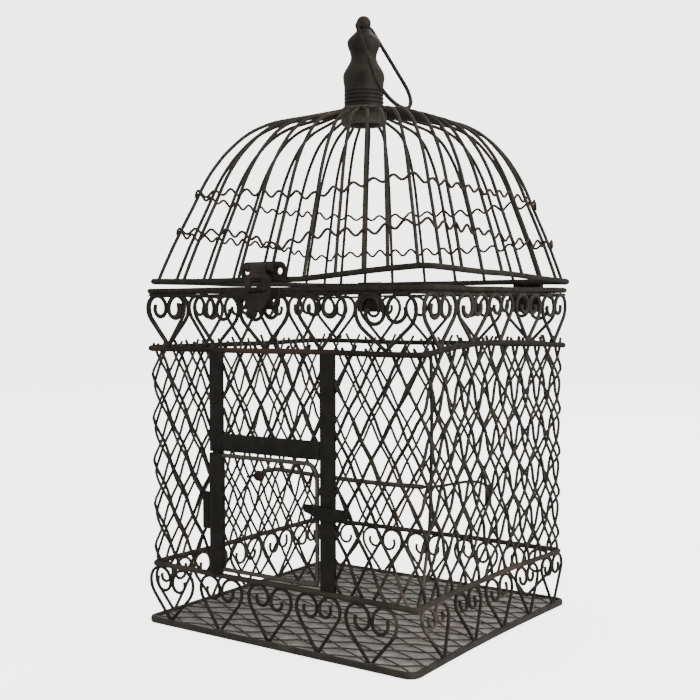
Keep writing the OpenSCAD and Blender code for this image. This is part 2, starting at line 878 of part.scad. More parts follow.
// Feet of the dome wires, round the lid rail from the front left corner
function spread(count, reach, i) = count < 2 ? 0 : -reach + 2 * reach * i / (count - 1);
rib_reach_x = lid_half_w - rib_inset_front;
rib_reach_y = half_d - rib_inset_side;
rib_feet = concat(
    [for (i = [0 : ribs_front - 1]) [spread(ribs_front, rib_reach_x, i), -half_d]],
    [for (i = [0 : ribs_side - 1]) [lid_half_w, spread(ribs_side, rib_reach_y, i)]],
    [for (i = [0 : ribs_front - 1]) [-spread(ribs_front, rib_reach_x, i), half_d]],
    [for (i = [0 : ribs_side - 1]) [-lid_half_w, -spread(ribs_side, rib_reach_y, i)]]
);

// One dome wire in its own upright plane: up from the rail, round the shoulder, in to the crown
module rib(foot, crown_angle) {
    end = (hub_r - rib_r) * [cos(crown_angle), sin(crown_angle)];
    reach = norm(foot - end);
    foot_z = lid_rail_z + lift_at(foot[0], foot[1]);
    a = [reach, foot_z];
    corner = [shoulder_share * reach, shoulder_z];
    b = [0, crown_z];
    rise = unit(corner - a);
    top = unit(b - corner);
    heading = atan2(rise[1], rise[0]);
    turn = atan2(top[1], top[0]) - heading;
    bend_r = shoulder_run / tan(turn / 2);
    bend_from = corner - shoulder_run * rise;
    bend_to = corner + shoulder_run * top;
    bend_mid = bend_from + bend_r * [-sin(heading), cos(heading)];
    trim = arc_short(bend_r);
    translate([end[0], end[1], 0])
        rotate([0, 0, atan2(foot[1] - end[1], foot[0] - end[0])])
            stand_up() {
                line_wire(a, towards(bend_from, a, join_short), rib_r);
                join(bend_from, heading, rib_r);
                arc_wire(bend_mid, bend_r, heading - 90 + trim, turn - 2 * trim, rib_r);
                join(bend_to, heading + turn, rib_r);
                line_wire(towards(bend_to, b, join_short), b, rib_r);
            }
}

module dome_ribs() {
    count = len(rib_feet);
    color(iron)
        on_lid()
            for (i = [0 : count - 1])
                rib(rib_feet[i], -90 + (i - (ribs_front - 1) / 2) * 360 / count);
}

// A wavy wire tied round the dome wires, at a height above the lid rail
module wave_wire(up, sag) {
    share = 1 - (1 - shoulder_share) * up / shoulder_h;
    pull = 0.85 * (hub_r - rib_r) * (1 - share);
    out = rib_r + wave_r - weld;
    hw = lid_half_w * share + pull + out;
    hd = half_d * share + pull + out;
    bend_r = 3 * corner_r;
    waves_front = round(2 * (hw - bend_r) / wave_len);
    waves_side = round(2 * (hd - bend_r) / wave_len);
    steps = 6;
    per_bend = 4;
    front_n = waves_front * steps;
    side_n = waves_side * steps;
    flat = loop_points(hw, hd, bend_r, front_n, side_n, per_bend);
    half_n = front_n + side_n + 2 * per_bend;
    points = [
        for (i = [0 : len(flat) - 1])
            let (k = i % half_n)
                let (on_front_run = k < front_n)
                    let (on_side_run = k >= front_n + per_bend && k < front_n + per_bend + side_n)
                        let (step = on_front_run ? k : k - front_n - per_bend)
                            let (ripple = on_front_run || on_side_run ? sin(360 * step / steps) : 0)
                                let (dip = i < front_n ? sin(180 * i / front_n) : 0)
                                    [flat[i][0], flat[i][1], lid_rail_z + up + wave_amp * ripple - sag * dip]
    ];
    color(iron)
        on_lid()
            swept_wire(points, wave_r, 5, true);
}

module lower_wave_wire() {
    wave_wire(wave_low_up, wave_sag);
}

module upper_wave_wire() {
    wave_wire(wave_high_up, 0);
}

// The crown
module crown_hub() {
    wall = 2.5;
    color(rust)
        on_lid()
            translate([0, 0, hub_z])
                difference() {
                    cylinder(h = hub_h, r = hub_r);
                    translate([0, 0, -1])
                        cylinder(h = hub_h + 1 - 2 * wall - rib_r, r = hub_r - 2 * wall);
                    cylinder(h = hub_h + 1, r = stud_r + free_gap);
                }
}

// The finial's outline runs through a few radii with an easy swell between them
finial_stations = [
    [0, finial_foot_d / 2], [finial_foot_h, finial_foot_d / 2],
    [finial_foot_h + 10, finial_belly_d / 2], [finial_foot_h + 25, finial_waist_d / 2],
    [finial_h - 11, finial_bulb_d / 2], [finial_h, finial_neck_d / 2]
];
function eased(a, b, t) = a + (b - a) * (1 - cos(180 * t)) / 2;
function swell(a, b, steps) =
    [for (i = [0 : steps - 1]) [eased(a[1], b[1], i / steps), a[0] + (b[0] - a[0]) * i / steps]];

module finial() {
    n = len(finial_stations);
    outline = [for (i = [1 : n - 2]) each swell(finial_stations[i], finial_stations[i + 1], 8)];
    groove_r = 0.7;
    grooves = 4;
    color(bronze)
        on_lid()
            translate([0, 0, finial_z])
                difference() {
                    union() {
                        rotate_extrude()
                            polygon(concat(
                                [[0, 0], [finial_foot_d / 2, 0]],
                                outline,
                                [[finial_neck_d / 2, finial_h], [0, finial_h]]
                            ));
                        translate([0, 0, ball_z - finial_z])
                            sphere(d = finial_ball_d);
                    }
                    for (i = [1 : grooves])
                        translate([0, 0, finial_foot_h * i / (grooves + 0.5)])
                            rotate_extrude()
                                translate([finial_foot_d / 2, 0])
                                    circle(groove_r);
                    translate([0, 0, eye_z - finial_z])
                        rotate([90, 0, 0])
                            cylinder(h = 2 * finial_ball_d, r = eye_hole_r, center = true);
                    translate([0, 0, -1])
                        cylinder(h = stud_len / 2 + 1, r = stud_r - press_grip);
                }
}

module finial_stud() {
    color(rust)
        on_lid()
            translate([0, 0, finial_z - stud_len / 2])
                cylinder(h = stud_len, r = stud_r);
}

module finial_nut() {
    seat = finial_z - 5 - rib_r;
    color(rust)
        on_lid()
            translate([0, 0, seat - nut_h])
                difference() {
                    cylinder(h = nut_h, d = nut_d, $fn = 6);
                    translate([0, 0, -1])
                        cylinder(h = nut_h + 2, r = stud_r - press_grip);
                }
}

// The ring, flat in its own plane with its eye run along the middle, then leaned to the right
module bail_ring() {
    run = finial_ball_d / 2 + ring_d / 2;
    bend_r = 3.5;
    small = [run, -bend_r];
    large = [0, ring_r - ring_len];
    gap = small - large;
    splay = asin((ring_r - bend_r) / norm(gap)) - atan2(gap[0], gap[1]);
    out = [cos(splay), sin(splay)];
    strand_top = small + bend_r * out;
    strand_end = large + ring_r * out;
    top_trim = arc_short(bend_r);
    top_turn = 90 - splay - 2 * top_trim;
    end_trim = arc_short(ring_r);
    round_turn = 180 + 2 * (splay - end_trim);
    color(iron)
        on_lid()
            translate([0, 0, eye_z])
                rotate([0, -ring_lean, 0])
                    rotate([90, 0, 90]) {
                        line_wire([join_short - run, 0], [run - join_short, 0], ring_wire_r);
                        arc_wire(large, ring_r, end_trim - splay - 180, round_turn, ring_wire_r);
                        for (side = [0, 1])
                            mirror([side, 0, 0]) {
                                join([run, 0], 0, ring_wire_r);
                                arc_wire(small, bend_r, splay + top_trim, top_turn, ring_wire_r);
                                join(strand_top, splay - 90, ring_wire_r);
                                line_wire(
                                    towards(strand_top, strand_end, join_short),
                                    towards(strand_end, strand_top, join_short),
                                    ring_wire_r
                                );
                                join(strand_end, splay - 90, ring_wire_r);
                            }
                    }
}

// The hasp
module plate_outline(w, h, r) {
    translate([-w / 2, 0])
        square([w, h - r]);
    translate([r - w / 2, 0])
        square([w - 2 * r, h]);
    for (side = [-1, 1])
        translate([side * (w / 2 - r), h - r])
            circle(r);
}

hasp_foot_z = lid_rail_z - lid_rail_r / 2;
screw_hole_d = 4.4;

module hasp_plate() {
    corner = 4;
    ear_x = hasp_barrel_w / 2 + free_gap;
    color(plate_iron)
        difference() {
            union() {
                translate([hasp_x, plate_back, hasp_foot_z])
                    stand_up()
                        linear_extrude(hasp_t)
                            difference() {
                                plate_outline(hasp_plate_w, hasp_plate_h, corner);
                                for (side = [-1, 1])
                                    translate([side * (hasp_plate_w / 2 - corner - 1), hasp_plate_h / 2])
                                        circle(d = screw_hole_d);
                            }
                for (side = [-1, 1])
                    translate([hasp_x + side * (ear_x + ear_w / 2), 0, 0]) {
                        translate([0, hasp_y, hasp_z])
                            rotate([0, 90, 0])
                                cylinder(h = ear_w, r = hasp_barrel_r, center = true);
                        translate([-ear_w / 2, hasp_y, hasp_z - hasp_t / 2])
                            cube([ear_w, plate_back - hasp_y, hasp_t]);
                    }
            }
            translate([hasp_x, hasp_y, hasp_z])
                rotate([0, 90, 0])
                    cylinder(h = 2 * hasp_plate_w, r = hasp_pin_r - press_grip, center = true);
        }
}

module hasp_pin() {
    color(rust)
        translate([hasp_x, hasp_y, hasp_z])
            rotate([0, 90, 0])
                cylinder(h = hasp_barrel_w + 2 * (free_gap + ear_w), r = hasp_pin_r, center = true);
}

// The tongue: a strap off its barrel, bent outward at the foot, narrowed to a round finger tab
tab_turn = tongue_bend - tab_d / 2 / tongue_bend_r * 180 / PI;
tab_z = bend_z - tongue_bend_r * sin(tab_turn);
tab_drop = tongue_bend_r * (sin(tongue_bend) - sin(tab_turn)) + hasp_t / 2;
tongue_shoulder_z = hasp_z - hasp_barrel_r - 1;

module tongue_front() {
    slot_w = tongue_w / 2;
    tab_edge = [
        for (i = [0 : 24])
            [tab_d / 2 * cos(7.5 * i), tab_z - tab_drop * sin(7.5 * i)]
    ];
    difference() {
        polygon(concat(
            [[hasp_barrel_w / 2, hasp_z + hasp_barrel_d], [hasp_barrel_w / 2, tongue_shoulder_z]],
            [[tongue_w / 2, tongue_shoulder_z - 3], [tongue_w / 2, bend_z - 2]],
            tab_edge,
            [[-tongue_w / 2, bend_z - 2], [-tongue_w / 2, tongue_shoulder_z - 3]],
            [[-hasp_barrel_w / 2, tongue_shoulder_z], [-hasp_barrel_w / 2, hasp_z + hasp_barrel_d]]
        ));
        translate([-slot_w / 2, bend_z])
            square([slot_w, tongue_drop - hasp_barrel_r - 4]);
    }
}

module hasp_tongue() {
    color(plate_iron)
        difference() {
            intersection() {
                union() {
                    translate([hasp_x - tongue_w, tongue_mid - tongue_bend_r, bend_z])
                        rotate([0, 90, 0])
                            linear_extrude(2 * tongue_w)
                                tongue_section();
                    translate([hasp_x, hasp_y, hasp_z])
                        rotate([0, 90, 0])
                            cylinder(h = hasp_barrel_w, r = hasp_barrel_r, center = true);
                }
                translate([hasp_x, 0, 0])
                    stand_up()
                        linear_extrude(2 * cage_d)
                            tongue_front();
            }
            translate([hasp_x, hasp_y, hasp_z])
                rotate([0, 90, 0])
                    cylinder(h = 2 * tongue_w, r = hasp_pin_r + running_gap, center = true);
        }
}

// The tongue's section, drawn with its first axis pointing down and its second towards the cage
function bend_edge(r, steps) =
    [for (i = [0 : steps]) r * [sin(tongue_bend * i / steps), cos(tongue_bend * i / steps)]];
function backwards(list) = [for (i = [len(list) - 1 : -1 : 0]) list[i]];

module tongue_section() {
    outer = tongue_bend_r + hasp_t / 2;
    inner = tongue_bend_r - hasp_t / 2;
    polygon(concat(
        [[-tongue_drop, inner], [-tongue_drop, outer]],
        bend_edge(outer, 16),
        backwards(bend_edge(inner, 16))
    ));
}

module catch_plate() {
    corner = 4;
    top = rim_z + rail_r / 2;
    color(plate_iron)
        translate([catch_x, catch_back, top])
            mirror([0, 0, 1])
                stand_up()
                    linear_extrude(hasp_t)
                        difference() {
                            plate_outline(catch_w, catch_h, corner);
                            for (side = [-1, 1])
                                translate([side * (catch_w / 2 - corner - 1), catch_h - corner - 1])
                                    circle(d = screw_hole_d);
                        }
}

module catch_knob() {
    color(plate_iron)
        translate([hasp_x, catch_front + weld, rim_z])
            rotate([90, 0, 0])
                cylinder(h = knob_h + weld, d1 = knob_d, d2 = knob_d * 0.7);
}

// The lid hinges: leaves on the rim with two outer knuckles, leaves on the lid with one between
module at_lid_hinges() {
    for (x = [lid_hinge_left_x, lid_hinge_right_x])
        translate([x, 0, 0])
            children();
}

module knuckle(x) {
    translate([x, lid_hinge_y, lid_hinge_z])
        rotate([0, 90, 0])
            cylinder(h = knuckle_w, r = lid_barrel_r, center = true);
}

module hinge_bore(r) {
    translate([0, lid_hinge_y, lid_hinge_z])
        rotate([0, 90, 0])
            cylinder(h = 2 * lid_hinge_w, r = r, center = true);
}

// A leaf's plate stays clear of the barrels, and a narrower strip of it runs on into each knuckle
strip_inset = 0.5;

module leaf_plate(inner, z0, z1) {
    translate([-lid_hinge_w / 2, inner, z0])
        cube([lid_hinge_w, lid_leaf_t, z1 - z0]);
}

module leaf_strip(x, inner, z0, z1) {
    translate([x - knuckle_w / 2 + strip_inset, inner, z0])
        cube([knuckle_w - 2 * strip_inset, lid_leaf_t, z1 - z0]);
}

module hinge_rim_leaves() {
    inner = half_d + rail_r - weld;
    top = lid_hinge_z - lid_barrel_r - free_gap;
    color(rust)
        at_lid_hinges()
            difference() {
                union() {
                    leaf_plate(inner, top - lid_leaf_h, top);
                    for (side = [-1, 1]) {
                        leaf_strip(side * (knuckle_w + free_gap), inner, top - 1, lid_hinge_z);
                        knuckle(side * (knuckle_w + free_gap));
                    }
                }
                hinge_bore(lid_pin_r - press_grip);
            }
}

module hinge_pins() {
    color(rust)
        at_lid_hinges()
            translate([0, lid_hinge_y, lid_hinge_z])
                rotate([0, 90, 0])
                    cylinder(h = lid_hinge_w, r = lid_pin_r, center = true);
}

module hinge_lid_leaves() {
    inner = half_d + lid_rail_r - weld;
    bottom = lid_hinge_z + lid_barrel_r + free_gap;
    color(rust)
        at_lid_hinges()
            difference() {
                union() {
                    leaf_plate(inner, bottom, max(bottom + 2, lid_rail_z + lid_rail_r));
                    leaf_strip(0, inner, lid_hinge_z, bottom + 1);
                    knuckle(0);
                }
                hinge_bore(lid_pin_r + running_gap);
            }
}

base_frame();
floor_sheet();
floor_mesh();
lower_scrolls_front();
lower_scrolls_back();
lower_scrolls_left();
lower_scrolls_right();
lower_rail();
mesh_back();
mesh_left();
mesh_right();
mesh_front_left();
mesh_front_right();
mesh_over_door();
seam_rod();
upper_rail();
upper_scrolls_front();
upper_scrolls_back();
upper_scrolls_left();
upper_scrolls_right();
top_rim();
hinge_post();
catch_post();
door_header();
hinge_leaf();
door_sleeve();
door_frame();
door_mesh();
door_latch();
perch_rod();
perch_bead();
perch_loop();
perch_hook();
perch_clip();
catch_plate();
catch_knob();
hinge_rim_leaves();
hinge_pins();
hinge_lid_leaves();
lid_rail();
dome_ribs();
lower_wave_wire();
upper_wave_wire();
crown_hub();
finial();
finial_stud();
finial_nut();
hasp_plate();
hasp_pin();
hasp_tongue();
bail_ring();
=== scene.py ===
# %% [markdown]
# # A wire birdcage for cards
# The cage is a box of iron rails with woven walls, rows of hearts above and below, and a domed lid.
# The fixed model is loaded first. Everything made here is laid on it, in metres and in the same place,
# so nothing has to be fitted by eye. The box round the fixed model is kept, to be shown beside the dressed
# model's box at the end.

# %% Load the fixed model
import math
import random
import bpy
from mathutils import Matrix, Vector


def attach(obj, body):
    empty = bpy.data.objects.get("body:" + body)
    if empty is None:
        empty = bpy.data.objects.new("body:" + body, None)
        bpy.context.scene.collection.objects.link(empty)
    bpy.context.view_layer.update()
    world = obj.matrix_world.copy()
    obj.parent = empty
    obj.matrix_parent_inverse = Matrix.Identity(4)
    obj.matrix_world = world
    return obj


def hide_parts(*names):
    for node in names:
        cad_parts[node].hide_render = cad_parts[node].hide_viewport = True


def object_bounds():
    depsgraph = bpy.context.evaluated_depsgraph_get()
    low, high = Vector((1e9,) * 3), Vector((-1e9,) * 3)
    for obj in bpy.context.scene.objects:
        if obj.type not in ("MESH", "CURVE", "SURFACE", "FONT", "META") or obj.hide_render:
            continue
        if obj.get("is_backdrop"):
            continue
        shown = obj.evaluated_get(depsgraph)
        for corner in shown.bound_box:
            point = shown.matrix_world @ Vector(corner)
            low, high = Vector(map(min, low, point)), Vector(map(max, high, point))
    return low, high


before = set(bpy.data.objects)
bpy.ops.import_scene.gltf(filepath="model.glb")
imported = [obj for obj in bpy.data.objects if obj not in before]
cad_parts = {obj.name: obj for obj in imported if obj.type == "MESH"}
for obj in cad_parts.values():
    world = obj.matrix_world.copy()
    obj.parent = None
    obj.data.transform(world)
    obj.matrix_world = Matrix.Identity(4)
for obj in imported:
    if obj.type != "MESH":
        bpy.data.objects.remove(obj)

cad_low, cad_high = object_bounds()
MM = 0.001
print("fixed model in mm:", [round(v / MM) for v in cad_high - cad_low])

# %% [markdown]
# ## The camera
# The photo was taken from the front right, a little above the middle of the cage. A camera could be
# placed by eye and nudged. Here its place was worked out from the corners of the four rails, so the
# drawing lies on the photo.

# %% Camera
EYE = Vector((0.48251, -0.71117, 0.23722))
LOOK_AT = Vector((-0.00704, -0.00488, 0.20306))
CAMERA_ROLL = math.radians(-0.169)
LENS, SENSOR = 57.71, 36.0


def select_none():
    if bpy.context.object and bpy.context.object.mode != "OBJECT":
        bpy.ops.object.mode_set(mode="OBJECT")
    bpy.ops.object.select_all(action="DESELECT")


select_none()
bpy.ops.object.camera_add(location=EYE)
camera = bpy.context.object
camera.name = "photo_camera"
camera.rotation_euler = (LOOK_AT - EYE).to_track_quat("-Z", "Y").to_euler()
camera.rotation_euler.rotate_axis("Z", CAMERA_ROLL)
camera.data.lens = LENS
camera.data.sensor_width = SENSOR
bpy.context.scene.camera = camera
print("camera", round((LOOK_AT - EYE).length, 3), "m from the cage")

# %% [markdown]
# ## Floor and light
# The photo has a plain white ground. A flat floor would show a horizon, so the floor is a wide disc whose
# edge is pulled up, and the fold is rounded, as a photographer's paper bowl is. It glows white for the
# camera only, so the iron stays dark. In the photo the right side is the lighter one, so the strongest of
# the three large soft lights stands there.

# %% Paper floor
FLOOR, PAPER_WALL, PAPER_FOLD, PAPER_GLOW = 7.0, 5.0, 2.4, 3.2
select_none()
bpy.ops.mesh.primitive_circle_add(vertices=96, radius=FLOOR, fill_type="NGON")
paper = bpy.context.object
paper.name = "paper_floor"
bpy.ops.object.mode_set(mode="EDIT")
bpy.ops.mesh.select_mode(type="EDGE")
bpy.ops.mesh.select_all(action="SELECT")
bpy.ops.mesh.extrude_edges_move(TRANSFORM_OT_translate={"value": (0, 0, PAPER_WALL)})
bpy.ops.mesh.select_all(action="DESELECT")
bpy.ops.object.mode_set(mode="OBJECT")
for edge in paper.data.edges:
    edge.select = all(paper.data.vertices[v].co.z < PAPER_WALL / 2 for v in edge.vertices)
bpy.ops.object.mode_set(mode="EDIT")
bpy.ops.mesh.bevel(offset=PAPER_FOLD, segments=14)
bpy.ops.object.mode_set(mode="OBJECT")
bpy.ops.object.shade_smooth()
white = bpy.data.materials.new("paper_white")
white.use_nodes = True
for socket, value in (("Base Color", (0.93, 0.93, 0.92, 1)), ("Roughness", 0.95), ("Specular IOR Level", 0.1),
                      ("Emission Color", (1.0, 1.0, 0.99, 1)), ("Emission Strength", PAPER_GLOW)):
    white.node_tree.nodes["Principled BSDF"].inputs[socket].default_value = value
paper.data.materials.append(white)
paper.visible_diffuse = False
paper.visible_glossy = False
paper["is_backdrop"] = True
print("paper floor", FLOOR, "m to its edge")

# %% Soft lights
LIT_POINT, ROOM_LIGHT = Vector((0, 0, 0.2)), 0.85


def soft_light(name, place, size, power):
    select_none()
    bpy.ops.object.light_add(type="AREA", location=place)
    light = bpy.context.object
    light.name = name
    light.data.size = size
    light.data.energy = power
    light.rotation_euler = (LIT_POINT - Vector(place)).to_track_quat("-Z", "Y").to_euler()
    print(name, power, "W")


soft_light("front_light", (-1.1, -1.7, 1.5), size=1.6, power=15)
soft_light("right_light", (1.9, -0.1, 0.9), size=1.6, power=54)
soft_light("back_light", (-0.4, 1.6, 1.6), size=1.4, power=16)
world = bpy.data.worlds.new("white_room")
bpy.context.scene.world = world
world.use_nodes = True
room = world.node_tree.nodes["Background"]
room.inputs["Color"].default_value = (1.0, 1.0, 1.0, 1)
room.inputs["Strength"].default_value = ROOM_LIGHT

# %% [markdown]
# ## The finishes
# The iron is nearly black, with brown bloom, thin rust and a dusty grain. One flat colour would look
# like plastic. Noise at three sizes in the piece's own space gives patches, blotches and grain. The
# blotches drive the roughness too, and the grain a fine bump. A rusty spot lies on the near corner, and
# another on the upper rail above the door, as in the photo.

# %% How a finish is made
PATCHES, BLOTCHES, GRAIN = 17.0, 120.0, 900.0
BROWN_SHARE, RUST_FADE, DUST_SHARE = (0.38, 0.66), 0.16, (0.60, 0.80)
SPOT_SHARE, SPOT_CORE = (0.30, 0.52), 0.4
BUMP, BUMP_DEPTH = 0.35, 0.0006
DULL, SATIN, WORN = 0.04, 0.06, 0.08


def finish(name, slot, dark, brown, rust, rust_from, grain=GRAIN, shine=SATIN, rough=(0.5, 0.85), spot=None):
    material = bpy.data.materials.new("cage_" + name)
    material["slot"] = slot
    material.use_nodes = True
    nodes = material.node_tree.nodes
    link = material.node_tree.links.new
    shader = nodes["Principled BSDF"]
    shader.inputs["Metallic"].default_value = 0.0
    shader.inputs["Specular IOR Level"].default_value = shine
    place = nodes.new("ShaderNodeTexCoord")

    def noise(scale, detail):
        node = nodes.new("ShaderNodeTexNoise")
        for socket, value in (("Scale", scale), ("Detail", detail), ("Roughness", 0.6)):
            node.inputs[socket].default_value = value
        link(place.outputs["Object"], node.inputs["Vector"])
        return node.outputs["Fac"]

    def ramp(source, low, high):
        node = nodes.new("ShaderNodeMapRange")
        node.interpolation_type = "SMOOTHSTEP"
        node.inputs["From Min"].default_value = low
        node.inputs["From Max"].default_value = high
        link(source, node.inputs["Value"])
        return node.outputs["Result"]

    def blend(share, under, over):
        node = nodes.new("ShaderNodeMix")
        node.data_type = "RGBA"
        link(share, node.inputs["Factor"])
        for socket, colour in ((node.inputs["A"], under), (node.inputs["B"], over)):
            if isinstance(colour, tuple):
                socket.default_value = (*colour, 1)
            else:
                link(colour, socket)
        return node.outputs["Result"]

    patches, blotches, fine = noise(PATCHES, 4.0), noise(BLOTCHES, 4.0), noise(grain, 3.0)
    dust = tuple(1.7 * c + 0.006 for c in brown)
    colour = blend(ramp(blotches, *BROWN_SHARE), dark, brown)
    colour = blend(ramp(patches, rust_from, rust_from + RUST_FADE), colour, rust)
    colour = blend(ramp(fine, *DUST_SHARE), colour, dust)
    if spot:
        spot_at, spot_reach, spot_rust = spot
        away = nodes.new("ShaderNodeVectorMath")
        away.operation = "DISTANCE"
        away.inputs[1].default_value = spot_at
        link(place.outputs["Object"], away.inputs[0])
        share = nodes.new("ShaderNodeMath")
        share.operation = "MULTIPLY"
        link(ramp(away.outputs["Value"], spot_reach, SPOT_CORE * spot_reach), share.inputs[0])
        link(ramp(blotches, *SPOT_SHARE), share.inputs[1])
        colour = blend(share.outputs["Value"], colour, spot_rust)
    link(colour, shader.inputs["Base Color"])
    dull = nodes.new("ShaderNodeMapRange")
    dull.inputs["To Min"].default_value = rough[0]
    dull.inputs["To Max"].default_value = rough[1]
    link(blotches, dull.inputs["Value"])
    link(dull.outputs["Result"], shader.inputs["Roughness"])
    bump = nodes.new("ShaderNodeBump")
    bump.inputs["Strength"].default_value = BUMP
    bump.inputs["Distance"].default_value = BUMP_DEPTH
    link(fine, bump.inputs["Height"])
    link(bump.outputs["Normal"], shader.inputs["Normal"])
    print("finish", name, "for", slot)
    return material


# %% Iron for wires and rails
CORNER_RUST = ((0.116, -0.094, 0.050), 0.042, (0.078, 0.062, 0.054))
RAIL_RUST = ((0.0, -0.107, 0.206), 0.06, (0.052, 0.031, 0.026))
aged_iron = finish(
    "iron", "aged_iron", dark=(0.0190, 0.0174, 0.0146), brown=(0.0304, 0.0271, 0.0224),
    rust=(0.0470, 0.0355, 0.0275), rust_from=0.58, shine=DULL, spot=CORNER_RUST)
rusty_iron = finish(
    "rusty", "rusty_iron", dark=(0.0175, 0.0152, 0.0128), brown=(0.0290, 0.0238, 0.0200),
    rust=(0.0460, 0.0320, 0.0260), rust_from=0.54, shine=DULL, spot=CORNER_RUST)
spotted_rail = finish(
    "spotted", "rusty_iron", dark=(0.0150, 0.0136, 0.0114), brown=(0.0250, 0.0216, 0.0180),
    rust=(0.0400, 0.0280, 0.0220), rust_from=0.60, shine=DULL, spot=RAIL_RUST)
perch_iron = finish(
    "perch", "rusty_iron", dark=(0.0560, 0.0510, 0.0440), brown=(0.0820, 0.0740, 0.0640),
    rust=(0.0960, 0.0760, 0.0630), rust_from=0.55)
rib_iron = finish(
    "rib", "aged_iron", dark=(0.0290, 0.0255, 0.0212), brown=(0.0430, 0.0364, 0.0300),
    rust=(0.0620, 0.0460, 0.0370), rust_from=0.56)
# A lighter copy of the iron. On the right wall and the right upper hearts it is painted light, lighter
# because the strong light falls from the right; the base bar and the upper hearts at the back and left are
# simply lighter.
lit_side_and_pale_iron = finish(
    "base", "aged_iron", dark=(0.0275, 0.0252, 0.0216), brown=(0.0408, 0.0365, 0.0312),
    rust=(0.0570, 0.0450, 0.0370), rust_from=0.56)
# A paler copy of the iron. On the door's frame wire it is a painted highlight, lighter along the wire as if
# lit; the walls and lower hearts at the back and left are simply paler.
highlight_and_pale_iron = finish(
    "highlit_pale", "aged_iron", dark=(0.0480, 0.0445, 0.0385), brown=(0.0690, 0.0630, 0.0545),
    rust=(0.0850, 0.0680, 0.0570), rust_from=0.56)

# %% Plates, turned pieces and sheet
dark_plate = finish(
    "plate", "dark_plate", dark=(0.0112, 0.0106, 0.0094), brown=(0.0170, 0.0156, 0.0138),
    rust=(0.0270, 0.0215, 0.0180), rust_from=0.60, rough=(0.42, 0.68))
hasp_iron = finish(
    "hasp", "dark_plate", dark=(0.0120, 0.0108, 0.0096), brown=(0.0205, 0.0172, 0.0152),
    rust=(0.0340, 0.0235, 0.0210), rust_from=0.52, shine=WORN, rough=(0.40, 0.65))
brown_turned = finish(
    "turned", "brown_turned", dark=(0.0170, 0.0146, 0.0118), brown=(0.0270, 0.0220, 0.0178),
    rust=(0.0410, 0.0290, 0.0235), rust_from=0.54, shine=WORN, rough=(0.38, 0.62))
hub_iron = finish(
    "hub", "rusty_iron", dark=(0.0580, 0.0515, 0.0440), brown=(0.0840, 0.0730, 0.0620),
    rust=(0.1050, 0.0800, 0.0660), rust_from=0.54, shine=WORN)
red_bead = finish(
    "bead", "brown_turned", dark=(0.0320, 0.0210, 0.0182), brown=(0.0480, 0.0300, 0.0256),
    rust=(0.0700, 0.0450, 0.0370), rust_from=0.55)
grey_sheet = finish(
    "sheet", "grey_sheet", dark=(0.225, 0.214, 0.197), brown=(0.320, 0.305, 0.282),
    rust=(0.183, 0.150, 0.129), rust_from=0.58, grain=500.0, shine=DULL)

# %% Small fittings that keep their solids
FITTINGS = {
    "hinge_leaf": dark_plate, "door_latch": dark_plate, "perch_clip": dark_plate,
    "perch_bead": red_bead, "perch_loop": rusty_iron, "catch_knob": hasp_iron, "hasp_pin": hasp_iron,
    "hinge_rim_leaves": rusty_iron, "hinge_pins": rusty_iron, "hinge_lid_leaves": rusty_iron,
    "finial_stud": rusty_iron, "finial_nut": rusty_iron,
}
for node, material in FITTINGS.items():
    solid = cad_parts[node]
    solid.data.materials.clear()
    solid.data.materials.append(material)
print(len(FITTINGS), "small fittings keep their solids")

# %% [markdown]
# ## Drawing with wire
# Nearly all of the cage is round wire. A tube could be built ring by ring, but a wire is simpler to draw:
# one corner is pulled from point to point, the line becomes a curve, the curve gets a round section,
# and the curve becomes a mesh again. All points are in millimetres.

# %% Lines and pieces
TOUCHING, LOOP_END = 0.002, 0.01
WIRE_SMOOTH, SHEET_SMOOTH, BAR_SMOOTH = math.radians(70), math.radians(40), math.radians(35)


def start_line(name):
    select_none()
    bpy.ops.mesh.primitive_plane_add(size=MM)
    piece = bpy.context.object
    piece.name = name
    piece.data.name = name
    bpy.ops.object.mode_set(mode="EDIT")
    bpy.ops.mesh.select_mode(type="VERT")
    bpy.ops.mesh.delete(type="VERT")
    return piece


def draw_line(points):
    points = [Vector(p) * MM for p in points]
    bpy.ops.mesh.primitive_plane_add(size=MM, location=points[0])
    bpy.ops.mesh.merge(type="CENTER")
    for here, there in zip(points, points[1:]):
        bpy.ops.mesh.extrude_vertices_move(TRANSFORM_OT_translate={"value": there - here})


def join_ends():
    bpy.ops.mesh.select_all(action="SELECT")
    bpy.ops.mesh.remove_doubles(threshold=LOOP_END * MM)


def close_up():
    bpy.ops.object.mode_set(mode="EDIT")
    bpy.ops.mesh.select_all(action="SELECT")
    bpy.ops.mesh.remove_doubles(threshold=TOUCHING * MM)
    bpy.ops.mesh.normals_make_consistent(inside=False)
    bpy.ops.object.mode_set(mode="OBJECT")


def hand_over(piece, material, body, *nodes):
    piece.data.materials.clear()
    piece.data.materials.append(material)
    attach(piece, body)
    if nodes:
        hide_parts(*nodes)
    print(piece.name, len(piece.data.polygons), "faces, on", body)


print("ends within", LOOP_END, "mm are joined")


# %% Round wire
def wire(name, lines, material, body, *nodes, radius, sides=1, closed=False):
    start_line(name)
    for line in lines:
        draw_line(line)
    bpy.ops.object.mode_set(mode="OBJECT")
    bpy.ops.object.convert(target="CURVE")
    curve = bpy.context.object
    curve.data.bevel_depth = radius * MM
    curve.data.bevel_resolution = sides
    curve.data.use_fill_caps = True
    for spline in curve.data.splines:
        spline.use_cyclic_u = closed
    bpy.ops.object.convert(target="MESH")
    piece = bpy.context.object
    close_up()
    bpy.ops.object.shade_smooth_by_angle(angle=WIRE_SMOOTH)
    hand_over(piece, material, body, *nodes)


def around(centre, radius, degrees):
    turn = math.radians(degrees)
    return (centre[0] + radius * math.cos(turn), centre[1] + radius * math.sin(turn))


def arc(centre, radius, first, last, count):
    return [around(centre, radius, first + (last - first) * i / count) for i in range(count + 1)]


